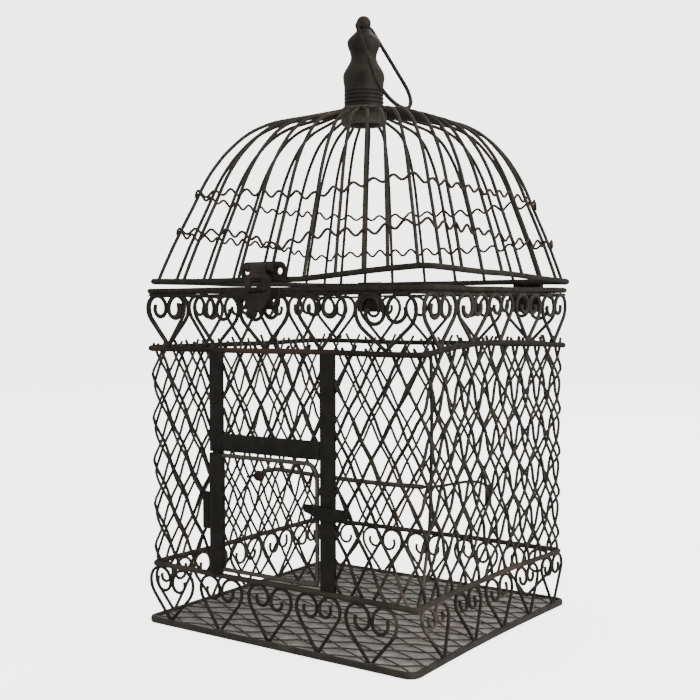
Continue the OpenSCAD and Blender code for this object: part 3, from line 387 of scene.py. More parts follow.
# A cubic through every point: each stretch takes its slopes from the points on both sides of it.
def smooth(points, steps, closed=False):
    n = len(points)
    points = [Vector(p) for p in points]

    def at(i):
        return points[i % n if closed else min(max(i, 0), n - 1)]

    line = []
    for i in range(n if closed else n - 1):
        a, b, c, d = at(i - 1), at(i), at(i + 1), at(i + 2)
        for k in range(steps):
            t = k / steps
            line.append(0.5 * (2 * b + (c - a) * t + (2 * a - 5 * b + 4 * c - d) * t * t
                               + (3 * b - a - 3 * c + d) * t ** 3))
    return line if closed else line + [points[-1]]


print("wire helpers ready")

# %% [markdown]
# ## Knocks and bends
# The cage is worn. Its walls lean out a little towards the top, the near corner is knocked askew, the right
# side is dented inwards at the base and the lower rail, and its upper rail is bent up. Each piece could be
# bent by itself. Here one function moves any point of the cage, so the pieces stay together.

# %% Knocks and bends
CAGE_X, CAGE_Y, CORNER = 118.0, 106.5, 6.0
LOWER_RAIL, UPPER_RAIL, RIM = 43.7, 205.7, 248.3
RAIL_OUT, MESH_OUT = 3.3, 1.5
BASE_ASKEW, CORNER_ASKEW, CORNER_REACH = (2.2, 3.2), (2.9, 2.0, 0.8), 120.0
BASE_DENT, RAIL_DENT, DENT_REACH = 2.6, 5.0, 45.0
RAIL_LIFT, LIFT_REACH, SIDE_HALF = 4.8, 38.0, 107.0


def clamp(share):
    return max(0.0, min(1.0, share))


def fade(distance, reach):
    return max(0.0, 1 - distance / reach)


def hump(share, skew=1):
    return math.sin(math.pi * share ** skew)


def leaned(x, z, out=RAIL_OUT):
    return x * (1 + out / CAGE_X / (UPPER_RAIL - LOWER_RAIL) * max(0.0, z - LOWER_RAIL))


def racked(x, y, z):
    near = clamp((x + CAGE_X) / (2 * CAGE_X)) * clamp((CAGE_Y - y) / (2 * CAGE_Y))
    low = fade(z, LOWER_RAIL)
    above = max(0.0, z - LOWER_RAIL)
    corner = (1 - low) * fade(above, CORNER_REACH) * near ** 3
    along = clamp((y + SIDE_HALF) / (2 * SIDE_HALF))
    dent = BASE_DENT * low * hump(along)
    dent += RAIL_DENT * (1 - low) * fade(above, DENT_REACH) * hump(along, 0.7)
    lift = RAIL_LIFT * fade(abs(z - UPPER_RAIL), LIFT_REACH) * hump(along, 0.75)
    right = max(0.0, x / CAGE_X) ** 3
    return (x - BASE_ASKEW[0] * low * near - dent * right - CORNER_ASKEW[0] * corner,
            y - BASE_ASKEW[1] * low * near - CORNER_ASKEW[1] * corner,
            z - CORNER_ASKEW[2] * corner + lift * right)


print("near base corner at", [round(v, 1) for v in racked(CAGE_X, -CAGE_Y, 0)])

# %% [markdown]
# ## Woven walls
# The walls are one strip of diamond mesh, bent round the corners and closed at a rod in the near corner. Two
# families of slanting wires pass over and under each other. A plane with a pattern would look flat at
# the edges, so each wire is drawn, with a wave that is high at one crossing and low at the next.
# Wires stop at the posts and round the doorway. The cut ends stand up as barbs above the upper rail.

# %% Wires of the wall mesh
MESH_X, MESH_Y, MESH_CORNER = 116.9, 105.3, 3.5
WALL_WIRE, BARB, CRIMP = 1.15, 5.4, 0.9
CELLS, ROWS, FIRST_CELL, FIRST_ROW = 48, 10, 15.25, 0.39
PER_ROW, CUT_TRIES = 4, 9
RUNS = (2 * (MESH_Y - MESH_CORNER), 2 * (MESH_X - MESH_CORNER))
BEND = math.pi / 2 * MESH_CORNER
AROUND = 2 * sum(RUNS) + 4 * BEND
HALF_CELL, HALF_RISE = AROUND / CELLS / 2, (UPPER_RAIL - LOWER_RAIL) / ROWS


# The strip starts at the near corner and runs along the right, the back, the left and the front.
def wall_at(run, z, out=0.0):
    run %= AROUND
    side = 0
    while run >= RUNS[side % 2] + BEND:
        run -= RUNS[side % 2] + BEND
        side += 1
    turn = math.pi / 2 * side
    way = Vector((-math.sin(turn), math.cos(turn)))
    x, y = ((1, 1), (-1, 1), (-1, -1), (1, -1))[side % 4]
    spot = Vector((x * (MESH_X - MESH_CORNER), y * (MESH_Y - MESH_CORNER)))
    past = run - RUNS[side % 2]
    if past < 0:
        spot += way * past
    else:
        turn += past / MESH_CORNER
    spot += Vector((math.cos(turn), math.sin(turn))) * (MESH_CORNER + out)
    return racked(leaned(spot.x, z, MESH_OUT), spot.y, z)


# The row where a wire crosses the edge of its stretch of wall is found by halving.
def cut_end(at, keep, inside, outside):
    for _ in range(CUT_TRIES):
        middle = (inside + outside) / 2
        if keep(*at(middle)[:2]):
            inside = middle
        else:
            outside = middle
    return at(inside)


def kept_stretches(at, keep):
    done, line, before = [], [], False
    for step in range(PER_ROW * ROWS + 1):
        row = step / PER_ROW
        last = row - 1 / PER_ROW
        here = keep(*at(row)[:2])
        if step and here != before:
            line.append(cut_end(at, keep, row, last) if here else cut_end(at, keep, last, row))
        if here:
            line.append(at(row))
        elif line:
            done.append(line)
            line = []
        before = here
    return done, line


def strands(keep):
    rng = random.Random(3)
    lines = []
    for slope in (1, -1):
        for first in range(0, 2 * CELLS, 2):
            drift = rng.uniform(-0.5, 0.5)
            tall = BARB * rng.uniform(0.5, 1.3)
            kick = rng.uniform(-0.7, 0.7)

            def at(row):
                i = first + slope * (row + FIRST_ROW)
                return (FIRST_CELL + i * HALF_CELL + drift * hump(row / ROWS), LOWER_RAIL + row * HALF_RISE,
                        slope * CRIMP * math.cos(math.pi * i))

            done, top = kept_stretches(at, keep)
            lines += done
            if top:
                run, z, out = top[-1]
                lines.append(top + [(run + slope * tall * HALF_CELL / HALF_RISE + kick, z + tall, out)])
    return [[wall_at(*point) for point in line] for line in lines if len(line) > 2]


print("a mesh cell is", round(2 * HALF_CELL, 1), "by", round(2 * HALF_RISE, 1), "mm")

# %% Woven walls
POST_GAPS, DOORWAY, DOORWAY_TOP = ((-57.5, -48.5), (40.5, 49.5)), (-49.0, 41.0), 144.5
SEAM = [(118.6, -96, 206.5), (118.2, -94, 160), (117.2, -91.5, 110), (116.6, -93, 75), (116.2, -97, 43.5)]


def on_side(number):
    start = sum(RUNS[k % 2] + BEND for k in range(number)) - BEND / 2
    return lambda run, z: (run - start) % AROUND < RUNS[number % 2] + BEND


def on_front(run, z):
    x = wall_at(run, z)[0]
    post = any(left < x < right for left, right in POST_GAPS)
    doorway = DOORWAY[0] < x < DOORWAY[1] and z < DOORWAY_TOP
    return on_side(3)(run, z) and not post and not doorway


# The right wall takes the lighter iron: painted light, lighter because the strong light falls from the right.
# The back and left walls take the paler iron.
for number, (side, material) in enumerate((("right", lit_side_and_pale_iron), ("back", highlight_and_pale_iron), ("left", highlight_and_pale_iron))):
    wire("woven_" + side, strands(on_side(number)), material, "cage", "mesh_" + side, radius=WALL_WIRE)
wire("woven_front", strands(on_front), aged_iron, "cage", "mesh_front_left", "mesh_front_right",
     "mesh_over_door", radius=WALL_WIRE)
seam_line = [racked(*point) for point in smooth(SEAM, 8)]
wire("seam_wire", [seam_line], rusty_iron, "cage", "seam_rod", radius=1.25, sides=2)

# %% [markdown]
# ## The floor
# The floor is the same mesh laid flat inside the base bar, over a thin grey sheet. It is seen only through
# the walls, so a plain rectangle of the weave is enough. The sheet comes later, with the base bar.

# %% Woven floor
MAT_X, MAT_Y, MAT_Z = 117.1, 108.8, 4.0
NEARLY = 0.001


def weave(width, height, across, up, crimp, seed):
    rng = random.Random(seed)
    half_cell, half_rise = width / across / 2, height / up / 2
    lines = []
    for slope in (1, -1):
        for first in range(-2 * up, 2 * across + 2 * up + 1, 2):
            drift = rng.uniform(-0.45, 0.45)
            line = []
            for step in range(2 * PER_ROW * up + 1):
                row = step / PER_ROW
                i = first + slope * row
                if -NEARLY <= i <= 2 * across + NEARLY:
                    line.append((i * half_cell + drift * hump(row / (2 * up)), row * half_rise,
                                 slope * crimp * math.cos(math.pi * i)))
            if len(line) > 2:
                lines.append(line)
    return lines


mat = [[racked(u - MAT_X, v - MAT_Y, 0)[:2] + (MAT_Z + w,) for u, v, w in line]
       for line in weave(2 * MAT_X, 2 * MAT_Y, across=7, up=13, crimp=0.36, seed=9)]
wire("woven_floor", mat, perch_iron, "cage", "floor_mesh", radius=0.55)

# %% [markdown]
# ## Hearts
# Each half of a heart is a rod bent by hand: up from the tip, round the flank, over the top and down into
# a curl. A perfect copy would look cast, so each heart has its own place and width, measured in the photo
# where it can be seen, and each half a small error in size. The tips stand behind the base bar or on the
# upper rail. On the right side the lower tips lean towards the back.

# %% One row of hearts
FLANK, LOBE, CURL = 0.72, 0.47, 0.6
CURL_DROP, CURL_RISE, CURL_END = 1.2, 3.5, 0.6


def half_heart(height, half, rng):
    half += rng.uniform(-0.6, 0.6)
    flank = FLANK * half
    lobe = LOBE * half + rng.uniform(-0.3, 0.2)
    curl = CURL * lobe + rng.uniform(-0.8, 0.6)
    drop = CURL_DROP + rng.uniform(-1.0, 1.2)
    rise = CURL_RISE + rng.uniform(-2.5, 1.5)
    bend = height - lobe
    lean = half - flank
    leave = math.degrees(math.atan2(lean, bend) + math.asin(flank / math.hypot(bend, lean)))
    inner = 2 * lobe - half
    line = [(0.0, 0.0)]
    line += arc((flank - half, bend), flank, 180 + leave, 180, 7)
    line += arc((lobe - half, bend), lobe, 180, 0, 12)[1:]
    line += arc((inner - curl, bend - drop), curl, 0, -180, 9)
    line.append((inner - 2 * curl + CURL_END, bend - drop + rise))
    return line


def heart_row(name, place, hearts, material, node, tip, height, radius, seed):
    rng = random.Random(seed)
    lines = []
    for middle, half in hearts:
        tilt = rng.uniform(-0.02, 0.02)
        for side in (1, -1):
            line = half_heart(height, half, rng)
            lines.append([place(middle + side * u + tilt * v, tip + v - side * tilt * u) for u, v in line])
    wire(name, lines, material, "cage", node, radius=radius, sides=2)


print("a heart's lobe is", LOBE, "of its half width")

# %% Heart rows
TIP_LEAN, TIP_LEAN_END = 10.0, 106.0
LOWER_ROW = {"tip": 2.4, "height": 39.4, "radius": 1.2}
UPPER_ROW = {"tip": 207.6, "height": 37.2, "radius": 1.4}
BACK_HEARTS = [(-96, 20.5), (-50, 20), (-4, 20), (42, 20), (88, 20.5)]
LEFT_HEARTS = [(-84, 19.5), (-41, 19.5), (2, 19.5), (45, 19.5), (87, 19.5)]


def front_at(u, z):
    return racked(leaned(u, z), -CAGE_Y, z)


def back_at(u, z):
    return (leaned(u, z), CAGE_Y, z)


def left_at(u, z):
    return (leaned(-CAGE_X, z), u, z)


def right_at(u, z):
    back = TIP_LEAN * fade(u, TIP_LEAN_END) ** 0.7 * fade(z, LOWER_RAIL)
    return racked(leaned(CAGE_X, z), u + back, z)


# The right upper hearts take the lighter iron: painted light, as the strong light falls from the right.
FACES = {
    "front": (front_at, aged_iron, [(-99, 21), (-50.3, 20), (-4.5, 19.3), (38.6, 19.2), (82.5, 21)],
              aged_iron, [(-97, 20), (-52, 20), (-8.3, 20.4), (38.5, 18.6), (88.8, 22.6)]),
    "back": (back_at, highlight_and_pale_iron, BACK_HEARTS, lit_side_and_pale_iron, BACK_HEARTS),
    "left": (left_at, highlight_and_pale_iron, LEFT_HEARTS, lit_side_and_pale_iron, LEFT_HEARTS),
    "right": (right_at, aged_iron, [(-83.4, 17.5), (-37.5, 17.5), (7, 19), (49.9, 17), (91, 17)],
              lit_side_and_pale_iron, [(-90, 20), (-46.3, 20.6), (-4.8, 17.5), (38, 20), (84, 20.5)]),
}
for number, (face, (place, lower_iron, lower, upper_iron, upper)) in enumerate(FACES.items()):
    heart_row("lower_hearts_" + face, place, lower, lower_iron, "lower_scrolls_" + face,
              seed=20 + number, **LOWER_ROW)
    heart_row("upper_hearts_" + face, place, upper, upper_iron, "upper_scrolls_" + face,
              seed=30 + number, **UPPER_ROW)

# %% [markdown]
# ## Rails
# Three rails and the lid's rail are heavy wire bent round the corners. A circle swept along a perfect
# loop would look new, so the loop wavers by a fraction of a millimetre. A thinner wire runs under the
# top rim and holds the hearts. The lid's rail is bent up at the near corner, as in the photo.

# %% Rails of the cage
RAIL_STEPS, BEND_STEPS, RIM_TO_UNDER = 24, 6, 3.4


def loop(half_x, half_y, corner, per_side):
    x, y = half_x - corner, half_y - corner
    middles = ((x, -y), (x, y), (-x, y), (-x, -y))
    bends = [arc(middle, corner, 90 * k - 90, 90 * k, BEND_STEPS) for k, middle in enumerate(middles)]
    shares = [k / per_side for k in range(1, per_side)]
    points = []
    for bend, following in zip(bends, bends[1:] + bends[:1]):
        (x0, y0), (x1, y1) = bend[-1], following[0]
        points += bend + [(x0 + (x1 - x0) * t, y0 + (y1 - y0) * t) for t in shares]
    return points


def waver(count, amount, seed):
    rng = random.Random(seed)
    long_wave, short_wave = rng.uniform(0, 6.28), rng.uniform(0, 6.28)
    turns = [2 * math.pi * i / count for i in range(count)]
    return [amount * (math.sin(5 * t + long_wave) + 0.6 * math.sin(11 * t + short_wave)) for t in turns]


def rail(name, z, material, *nodes, amount=0.25, seed, radius, sides=3):
    points = loop(CAGE_X, CAGE_Y, CORNER, RAIL_STEPS)
    line = [racked(leaned(x, z), y, z + up) for (x, y), up in zip(points, waver(len(points), amount, seed))]
    wire(name, [line], material, "cage", *nodes, radius=radius, sides=sides, closed=True)


rail("lower_rail_wire", LOWER_RAIL, rib_iron, "lower_rail", seed=41, radius=2.0)
rail("upper_rail_wire", UPPER_RAIL, spotted_rail, "upper_rail", seed=42, radius=2.05)
rail("top_rim_wire", RIM, aged_iron, "top_rim", seed=43, radius=1.9)
rail("rim_under_wire", RIM - RIM_TO_UNDER, aged_iron, amount=0.5, seed=45, radius=0.95, sides=2)

# %% Rail of the lid
LID_X, LID_RAIL, LID_SHIFT = 121.0, 255.2, 3.0
LID_LIFT, LIFT_FROM = 7.0, 20.0


def lid_lift(x, y):
    return LID_LIFT * clamp((x - LIFT_FROM) / (LID_X - LIFT_FROM)) * clamp((CAGE_Y - y) / (2 * CAGE_Y))


lid_loop = loop(LID_X, CAGE_Y, CORNER, RAIL_STEPS)
lid_line = [(x + LID_SHIFT, y, LID_RAIL + up + lid_lift(leaned(x, RIM), y))
            for (x, y), up in zip(lid_loop, waver(len(lid_loop), 0.3, 44))]
wire("lid_rail_wire", [lid_line], aged_iron, "lid", "lid_rail", radius=2.1, sides=3, closed=True)

# %% [markdown]
# ## The dome
# Some thirty wires rise from the lid's rail, bend in at the shoulder and meet at the hub. They could be
# copies of one bent wire, turned about the axis. The real dome is uneven: the feet stand where the photo
# shows them, all wires follow one bowed line from foot to hub, and the whole shoulder leans a little to
# the right.

# %% Dome wires
HUB_END, RIB, RIB_ASIDE = 16.1, 1.3, 1.3
TO_RIGHT, SHOULDER_LEAN = Vector((0.82, 0.57)), 4.4
BOWED = [(1.0, 256), (0.923, 282), (0.823, 311), (0.777, 325), (0.734, 336), (0.691, 344.6), (0.661, 350),
         (0.596, 359.3), (0.54, 365.5), (0.482, 370), (0.404, 374.2), (0.3, 377.2), (0.2, 379.6), (0.1, 382),
         (0.0, 384.2)]
BOW_FOOT, FOOT_REACH = BOWED[0][1], 90.0
FRONT_FEET = [-112.8, -87.2, -62, -35, -6.4, 22.5, 48.5, 70.8, 90, 112.8]
RIGHT_FEET = [-92, -65, -36.7, -7.3, 24.1, 55, 82]
BACK_FEET = [115, 96, 73.1, 47.2, 20, -9.8, -42.4, -71, -97, -115]
LEFT_FEET = [87, 56, 23, -13, -48.5, -79]
feet = [(x, -CAGE_Y) for x in FRONT_FEET] + [(LID_X, y) for y in RIGHT_FEET]
feet += [(x, CAGE_Y) for x in BACK_FEET] + [(-LID_X, y) for y in LEFT_FEET]
front_middle = (len(FRONT_FEET) - 1) / 2
rib_rng = random.Random(50)
ribs = []
for number, (x, y) in enumerate(feet):
    end = Vector(around((0, 0), HUB_END, -90 + (number - front_middle) * 360 / len(feet)))
    away = Vector((x, y)) - end
    aside = Vector((-away.y, away.x)).normalized() * rib_rng.uniform(-RIB_ASIDE, RIB_ASIDE)
    foot_up = LID_RAIL + lid_lift(x, y) - BOW_FOOT
    line = []
    for share, z in smooth(BOWED, 2):
        spot = end + away * share + aside * hump(clamp(share))
        spot += TO_RIGHT * SHOULDER_LEAN * hump(max(0.0, share), 0.75)
        line.append((spot.x + LID_SHIFT, spot.y, z + foot_up * fade(z - BOW_FOOT, FOOT_REACH)))
    ribs.append(line)
wire("dome_wires", ribs, rib_iron, "lid", "dome_ribs", radius=RIB, sides=2)

# %% [markdown]
# ## Wavy wires
# Two crimped wires run round the dome and are tied to each dome wire. They follow the wires as bent, so
# the place where each dome wire passes the height is found first, the loop is drawn through those
# places, and the wave is added along its length. The heights sag where the photo shows it.

# %% Heights of the wavy wires
UPPER_WAVE = {
    "front": [(-114, 318.9), (-71, 319), (-32, 316.4), (1, 313.5), (15, 311.4), (38, 314.4), (58, 316.2),
              (81, 319.6), (112, 320)],
    "right": [(-111, 318), (-43, 317.5), (-13, 316.2), (34, 317.4), (79, 315.8), (106, 310.5)],
    "back": [(-116, 313.6), (-59, 310.5), (-1, 312.5), (44, 310.7), (91, 315.1), (112, 313)],
    "left": [(-93, 318.7), (-42, 315.6), (0, 314), (87, 314.5)],
}
LOWER_WAVE = {
    "front": [(-110, 291.3), (-69, 289.8), (-36, 286.5), (-26, 281.3), (-1, 276.4), (13, 278.7), (20, 283.3),
              (48, 285.7), (72, 284.3), (106, 289.5)],
    "right": [(-105, 288.9), (-51, 287.6), (-20, 286.5), (9, 283.4), (72, 282.3), (107, 283.6)],
    "back": [(-116, 278.4), (-92, 281.3), (30, 281.4), (120, 283.6)],
    "left": [(-82, 289), (-31, 288), (25, 286.9), (55, 283.8), (86, 279.7)],
}


def read_off(table, at):
    for (a, low), (b, high) in zip(table, table[1:]):
        if at <= b:
            return low + (high - low) * max(0.0, at - a) / (b - a)
    return table[-1][1]


def wave_level(wave, x, y):
    if abs(y) > CAGE_Y - 1:
        return read_off(wave["front" if y < 0 else "back"], x)
    return read_off(wave["right" if x > 0 else "left"], y)


in_front = [round(wave_level(wave, 0, -CAGE_Y)) for wave in (LOWER_WAVE, UPPER_WAVE)]
print("wavy wires in front at", in_front, "mm")

# %% Wavy wires
WAVE_LENGTH, WAVE_WIRE, WAVE_OUT, WAVE_STEPS = 15.5, 1.0, 0.8, 24


def tie(rib, z):
    for p, q in zip(rib, rib[1:]):
        if p[2] <= z < q[2]:
            spot = Vector(p).lerp(Vector(q), (z - p[2]) / (q[2] - p[2]))
            climb = (Vector(q) - Vector(p)).normalized()
            flat = Vector((spot.x - LID_SHIFT, spot.y, 0)).normalized()
            out = (flat - flat.dot(climb) * climb).normalized()
            return spot + out * (RIB + WAVE_OUT)


def wavy(name, wave, node, height, seed):
    ties = [tie(rib, wave_level(wave, *foot)) for foot, rib in zip(feet, ribs)]
    line = smooth(ties, WAVE_STEPS, closed=True)
    stretches = list(zip(line, line[1:] + line[:1]))
    length = sum((q - p).length for p, q in stretches)
    waves = round(length / WAVE_LENGTH)
    rng = random.Random(seed)
    swing = [rng.uniform(0.75, 1.2) for _ in range(waves + 1)]
    travelled, wave_line = 0.0, []
    for p, q in stretches:
        turn = travelled / length * waves
        wave_line.append(p + Vector((0, 0, height * swing[int(turn)] * math.sin(2 * math.pi * turn))))
        travelled += (q - p).length
    wire(name, [wave_line], rib_iron, "lid", node, radius=WAVE_WIRE, closed=True)


wavy("lower_wavy_wire", LOWER_WAVE, "lower_wave_wire", height=2.3, seed=51)
wavy("upper_wavy_wire", UPPER_WAVE, "upper_wave_wire", height=2.2, seed=52)

# %% [markdown]
# ## Crown
# The hub is a short band that takes the dome wires, and the finial is a turned spindle on top of it. Both
# are round about one axis, so half an outline is drawn and spun. The finial's ball is drilled for the ring.

# %% Spinning and drilling
DRILL = 20.0


def spun(name, foot, half_outline):
    piece = start_line(name)
    draw_line([(LID_SHIFT + r, 0, foot + z) for r, z in half_outline])
    bpy.ops.mesh.select_all(action="SELECT")
    bpy.ops.mesh.spin(steps=48, angle=2 * math.pi, center=(LID_SHIFT * MM, 0, 0), axis=(0, 0, 1))
    bpy.ops.object.mode_set(mode="OBJECT")
    close_up()
    bpy.ops.object.shade_smooth_by_angle(angle=SHEET_SMOOTH)
    return piece


def apply(piece, kind, **settings):
    step = piece.modifiers.new("step", kind)
    for name, value in settings.items():
        setattr(step, name, value)
    bpy.context.view_layer.objects.active = piece
    bpy.ops.object.modifier_apply(modifier="step")


def cut(piece, cutter):
    apply(piece, "BOOLEAN", object=cutter)
    bpy.data.objects.remove(cutter)


def drill(piece, place, radius, facets):
    select_none()
    bpy.ops.mesh.primitive_cylinder_add(vertices=facets, radius=radius * MM, depth=DRILL * MM,
                                        location=Vector(place) * MM, rotation=(math.pi / 2, 0, 0))
    cut(piece, bpy.context.object)


def eased(low, high, steps):
    (z0, r0), (z1, r1) = low, high
    return [(r0 + (r1 - r0) * (1 - math.cos(math.pi * i / steps)) / 2, z0 + (z1 - z0) * i / steps)
            for i in range(steps)]


print("crown helpers ready")

# %% Hub and finial
HUB_FOOT, FINIAL_FOOT, RING_Z = 373.6, 386.6, 448.2
GROOVES, GROOVE_FOOT, GROOVE_PITCH = 4, 2.0, 2.9
BALL_R, BALL_Z, RING_HOLE = 5.6, 63.6, 1.8
BAND = [(0, 7), (12.5, 7), (12.5, 0.8), (13.2, 0), (16.4, 0), (17.3, 0.9), (17.5, 3), (17.35, 6.5),
        (17.5, 10), (17.2, 12.2), (16.2, 13), (0, 13)]
SWELLS = [(13.6, 14.8), (23, 15.8), (38, 9.7), (49, 12.5), (60, 4.9)]
hand_over(spun("crown_band", HUB_FOOT, BAND), hub_iron, "lid", "crown_hub")
spindle = [(0, 0), (14.4, 0), (14.9, 0.5)]
for groove in range(GROOVES):
    z = GROOVE_FOOT + GROOVE_PITCH * groove
    spindle += [(14.9, z), (14.35, z + 0.5), (14.35, z + 0.8), (15.0, z + 1.4)]
spindle.append((14.8, 13.2))
for low, high in zip(SWELLS, SWELLS[1:]):
    spindle += eased(low, high, 9)
spindle += arc((0, BALL_Z), BALL_R, -52, 90, 12)[:-1] + [(0, BALL_Z + BALL_R)]
finial = spun("turned_finial", FINIAL_FOOT, spindle)
drill(finial, (LID_SHIFT, 0, RING_Z), RING_HOLE, facets=24)
hand_over(finial, brown_turned, "lid", "finial")

# %% [markdown]
# ## The ring
# A long wire ring hangs through the ball and leans on the crown. Its outline is a short bar, two spreading
# legs and a round foot, drawn flat and then leaned over.

# %% Ring
RING_LEAN, RING_R, RING_LENGTH = math.radians(28.524), 21.0, 74.0
RING_BAR, RING_BEND, RING_WIRE = 7.1, 3.5, 1.5
foot_middle, bend_middle = (0, RING_R - RING_LENGTH), (RING_BAR, -RING_BEND)
leg = Vector(bend_middle) - Vector(foot_middle)
splay = math.degrees(math.asin((RING_R - RING_BEND) / leg.length) - math.atan2(leg.x, leg.y))
half_ring = arc(bend_middle, RING_BEND, 90, splay, 5) + arc(foot_middle, RING_R, splay, -90, 12)
flat_ring = half_ring + [(-u, v) for u, v in reversed(half_ring[:-1])]
ring_line = [(LID_SHIFT - v * math.sin(RING_LEAN), u, RING_Z + v * math.cos(RING_LEAN)) for u, v in flat_ring]
wire("wire_ring", [ring_line], aged_iron, "ring", "bail_ring", radius=RING_WIRE, sides=3, closed=True)

# %% [markdown]
# ## The door's posts
# Flat bars frame the door: a post on each side and a header between them. The left post is a round rod
# below. A sharp block looks machined, so the bars have rounded edges, cross cuts along the length and a
# slight hammered unevenness.

# %% Posts and header
FRONT, BAR_HALF, BAR_EDGE, BAR_CUTS, BAR_UNEVEN = -CAGE_Y, 1.5, 0.5, 10, 0.12
HINGE_X, HINGE_ROD, HINGE_ROD_TOP = -53.0, 3.2, 134.0
HINGE_POST, CATCH_POST = (-58.8, -47.2), (39.3, 50.9)
HINGE_FOOT, CATCH_FOOT, HEADER = 132.7, 42.1, (133.5, 146.0)


def bar(name, across, upright, seed):
    low = Vector((across[0], FRONT - BAR_HALF, upright[0])) * MM
    high = Vector((across[1], FRONT + BAR_HALF, upright[1])) * MM
    size = high - low
    select_none()
    bpy.ops.mesh.primitive_cube_add(size=1.0)
    piece = bpy.context.object
    piece.name = name
    piece.data.name = name
    bpy.ops.object.mode_set(mode="EDIT")
    bpy.ops.transform.resize(value=size)
    bpy.ops.transform.translate(value=(low + high) / 2)
    bpy.ops.mesh.bevel(offset=BAR_EDGE * MM, segments=2)
    axis = max(range(3), key=lambda i: size[i])
    normal = [0, 0, 0]
    normal[axis] = 1
    for number in range(1, BAR_CUTS):
        point = (low + high) / 2
        point[axis] = low[axis] + size[axis] * number / BAR_CUTS
        bpy.ops.mesh.select_all(action="SELECT")
        bpy.ops.mesh.bisect(plane_co=point, plane_no=normal)
    bpy.ops.mesh.select_all(action="SELECT")
    bpy.ops.transform.vertex_random(offset=BAR_UNEVEN * MM, uniform=1.0, normal=0.0, seed=seed)
    bpy.ops.object.mode_set(mode="OBJECT")
    bpy.ops.object.shade_smooth_by_angle(angle=BAR_SMOOTH)
    return piece


catch_bar = bar("catch_post_bar", CATCH_POST, (CATCH_FOOT, UPPER_RAIL), seed=61)
hand_over(catch_bar, dark_plate, "cage", "catch_post")
hinge_bar = bar("hinge_post_bar", HINGE_POST, (HINGE_FOOT, UPPER_RAIL), seed=62)
hand_over(hinge_bar, dark_plate, "cage", "hinge_post")
wire("hinge_rod", [[(HINGE_X, FRONT, LOWER_RAIL), (HINGE_X, FRONT, HINGE_ROD_TOP)]], dark_plate, "cage",
     "hinge_post", radius=HINGE_ROD, sides=3)
header_bar = bar("door_header_bar", (HINGE_POST[1], CATCH_POST[0]), HEADER, seed=63)
hand_over(header_bar, dark_plate, "cage", "door_header")

# %% [markdown]
# ## The door
# The door is a bent wire with its own mesh, and it turns on a sleeve rolled from sheet. The sleeve could be
# a plain tube. A rolled one shows its lap, so a line is drawn round the rod with a short overlap, pulled
# up, and given a thickness.

# %% Sleeve
SLEEVE_R, LAP_R, SLEEVE_FOOT, SLEEVE_TALL, SLEEVE_SHEET = 5.2, 5.6, 46.7, 85.2, 0.9
sleeve = start_line("rolled_sleeve")
lap = arc((HINGE_X, FRONT), SLEEVE_R, -12, 300, 26)
lap += [around((HINGE_X, FRONT), LAP_R, degrees) for degrees in (318, 333, 348, 360)]
draw_line([(x, y, SLEEVE_FOOT) for x, y in lap])
bpy.ops.mesh.select_all(action="SELECT")
bpy.ops.mesh.extrude_edges_move(TRANSFORM_OT_translate={"value": (0, 0, SLEEVE_TALL * MM)})
bpy.ops.object.mode_set(mode="OBJECT")
apply(sleeve, "SOLIDIFY", thickness=SLEEVE_SHEET * MM, offset=0.0)
close_up()
bpy.ops.object.shade_smooth_by_angle(angle=SHEET_SMOOTH)
hand_over(sleeve, dark_plate, "door", "door_sleeve")

# %% Door wire and mesh
DOOR_LEFT, DOOR_RIGHT, DOOR_TOP, DOOR_FOOT = -47.6, 36.1, 130.3, 48.3
TOP_BEND, FOOT_BEND = 9, 4
door_line = [(DOOR_LEFT + 10 * i, DOOR_TOP) for i in range(7)]
door_line += arc((DOOR_RIGHT - TOP_BEND, DOOR_TOP - TOP_BEND), TOP_BEND, 90, 0, 8)
door_line += arc((DOOR_RIGHT - FOOT_BEND, DOOR_FOOT + FOOT_BEND), FOOT_BEND, 0, -90, 6)
door_line = [(x, FRONT, z) for x, z in door_line + [(DOOR_LEFT, DOOR_FOOT)]]
# The frame wire takes the paler iron: a painted highlight along the round wire.
wire("door_frame_wire", [door_line], highlight_and_pale_iron, "door", "door_frame", radius=1.6, sides=3)
door_weave = weave(DOOR_RIGHT - DOOR_LEFT, DOOR_TOP - DOOR_FOOT, across=5, up=3, crimp=0.5, seed=64)
door_weave = [[(DOOR_LEFT + u, FRONT - w, DOOR_FOOT + v) for u, v, w in line] for line in door_weave]
wire("woven_door", door_weave, aged_iron, "door", "door_mesh", radius=0.85)

# %% [markdown]
# ## The perch
# A bent rod crosses the cage from a bead at the left wall to a hook at the right wall. Its bends are few
# and soft, so a smooth line is drawn through some points and swept as wire.

# %% Perch
PERCH_END, PERCH_SKEW = 111.7, 12
PERCH = [(-111.7, 95.2), (-108.7, 97.7), (-103.7, 100.0), (-95.7, 101.7), (-85.7, 102.6), (-30, 101.8),
         (20, 102.2), (59, 103.7)]
HOOK = [(55, 103.6), (61, 103.9), (73.75, 105.8), (87.75, 109.2), (99.75, 111.8), (109.75, 112),
        (115.75, 109.2)]


def across_cage(points):
    return smooth([(x, -PERCH_SKEW * x / PERCH_END, z) for x, z in points], 6)


wire("perch_bar", [across_cage(PERCH)], perch_iron, "cage", "perch_rod", radius=1.9, sides=2)
wire("perch_end_hook", [across_cage(HOOK)], perch_iron, "cage", "perch_hook", radius=1.1, sides=2)

# %% [markdown]
# ## The hasp
# The lid's plate and the rim's plate are cut from sheet, and a strap hangs on a pin between two knuckles.
# Plain blocks would look machined, so each outline is drawn, filled, pulled to its thickness, drilled and
# rounded along its edges. The strap is a strip between its two edges, bent outward to a rounded lip at
# the foot.

# %% Sheet helpers
HASP_X, HASP_Y, HASP_Z, SHEET, SHEET_EDGE = -6.7, -113.5, 263.2, 1.5, 0.35
PLATE_HOLE, HOLE_IN, KNUCKLE = 2.1, 5, 3


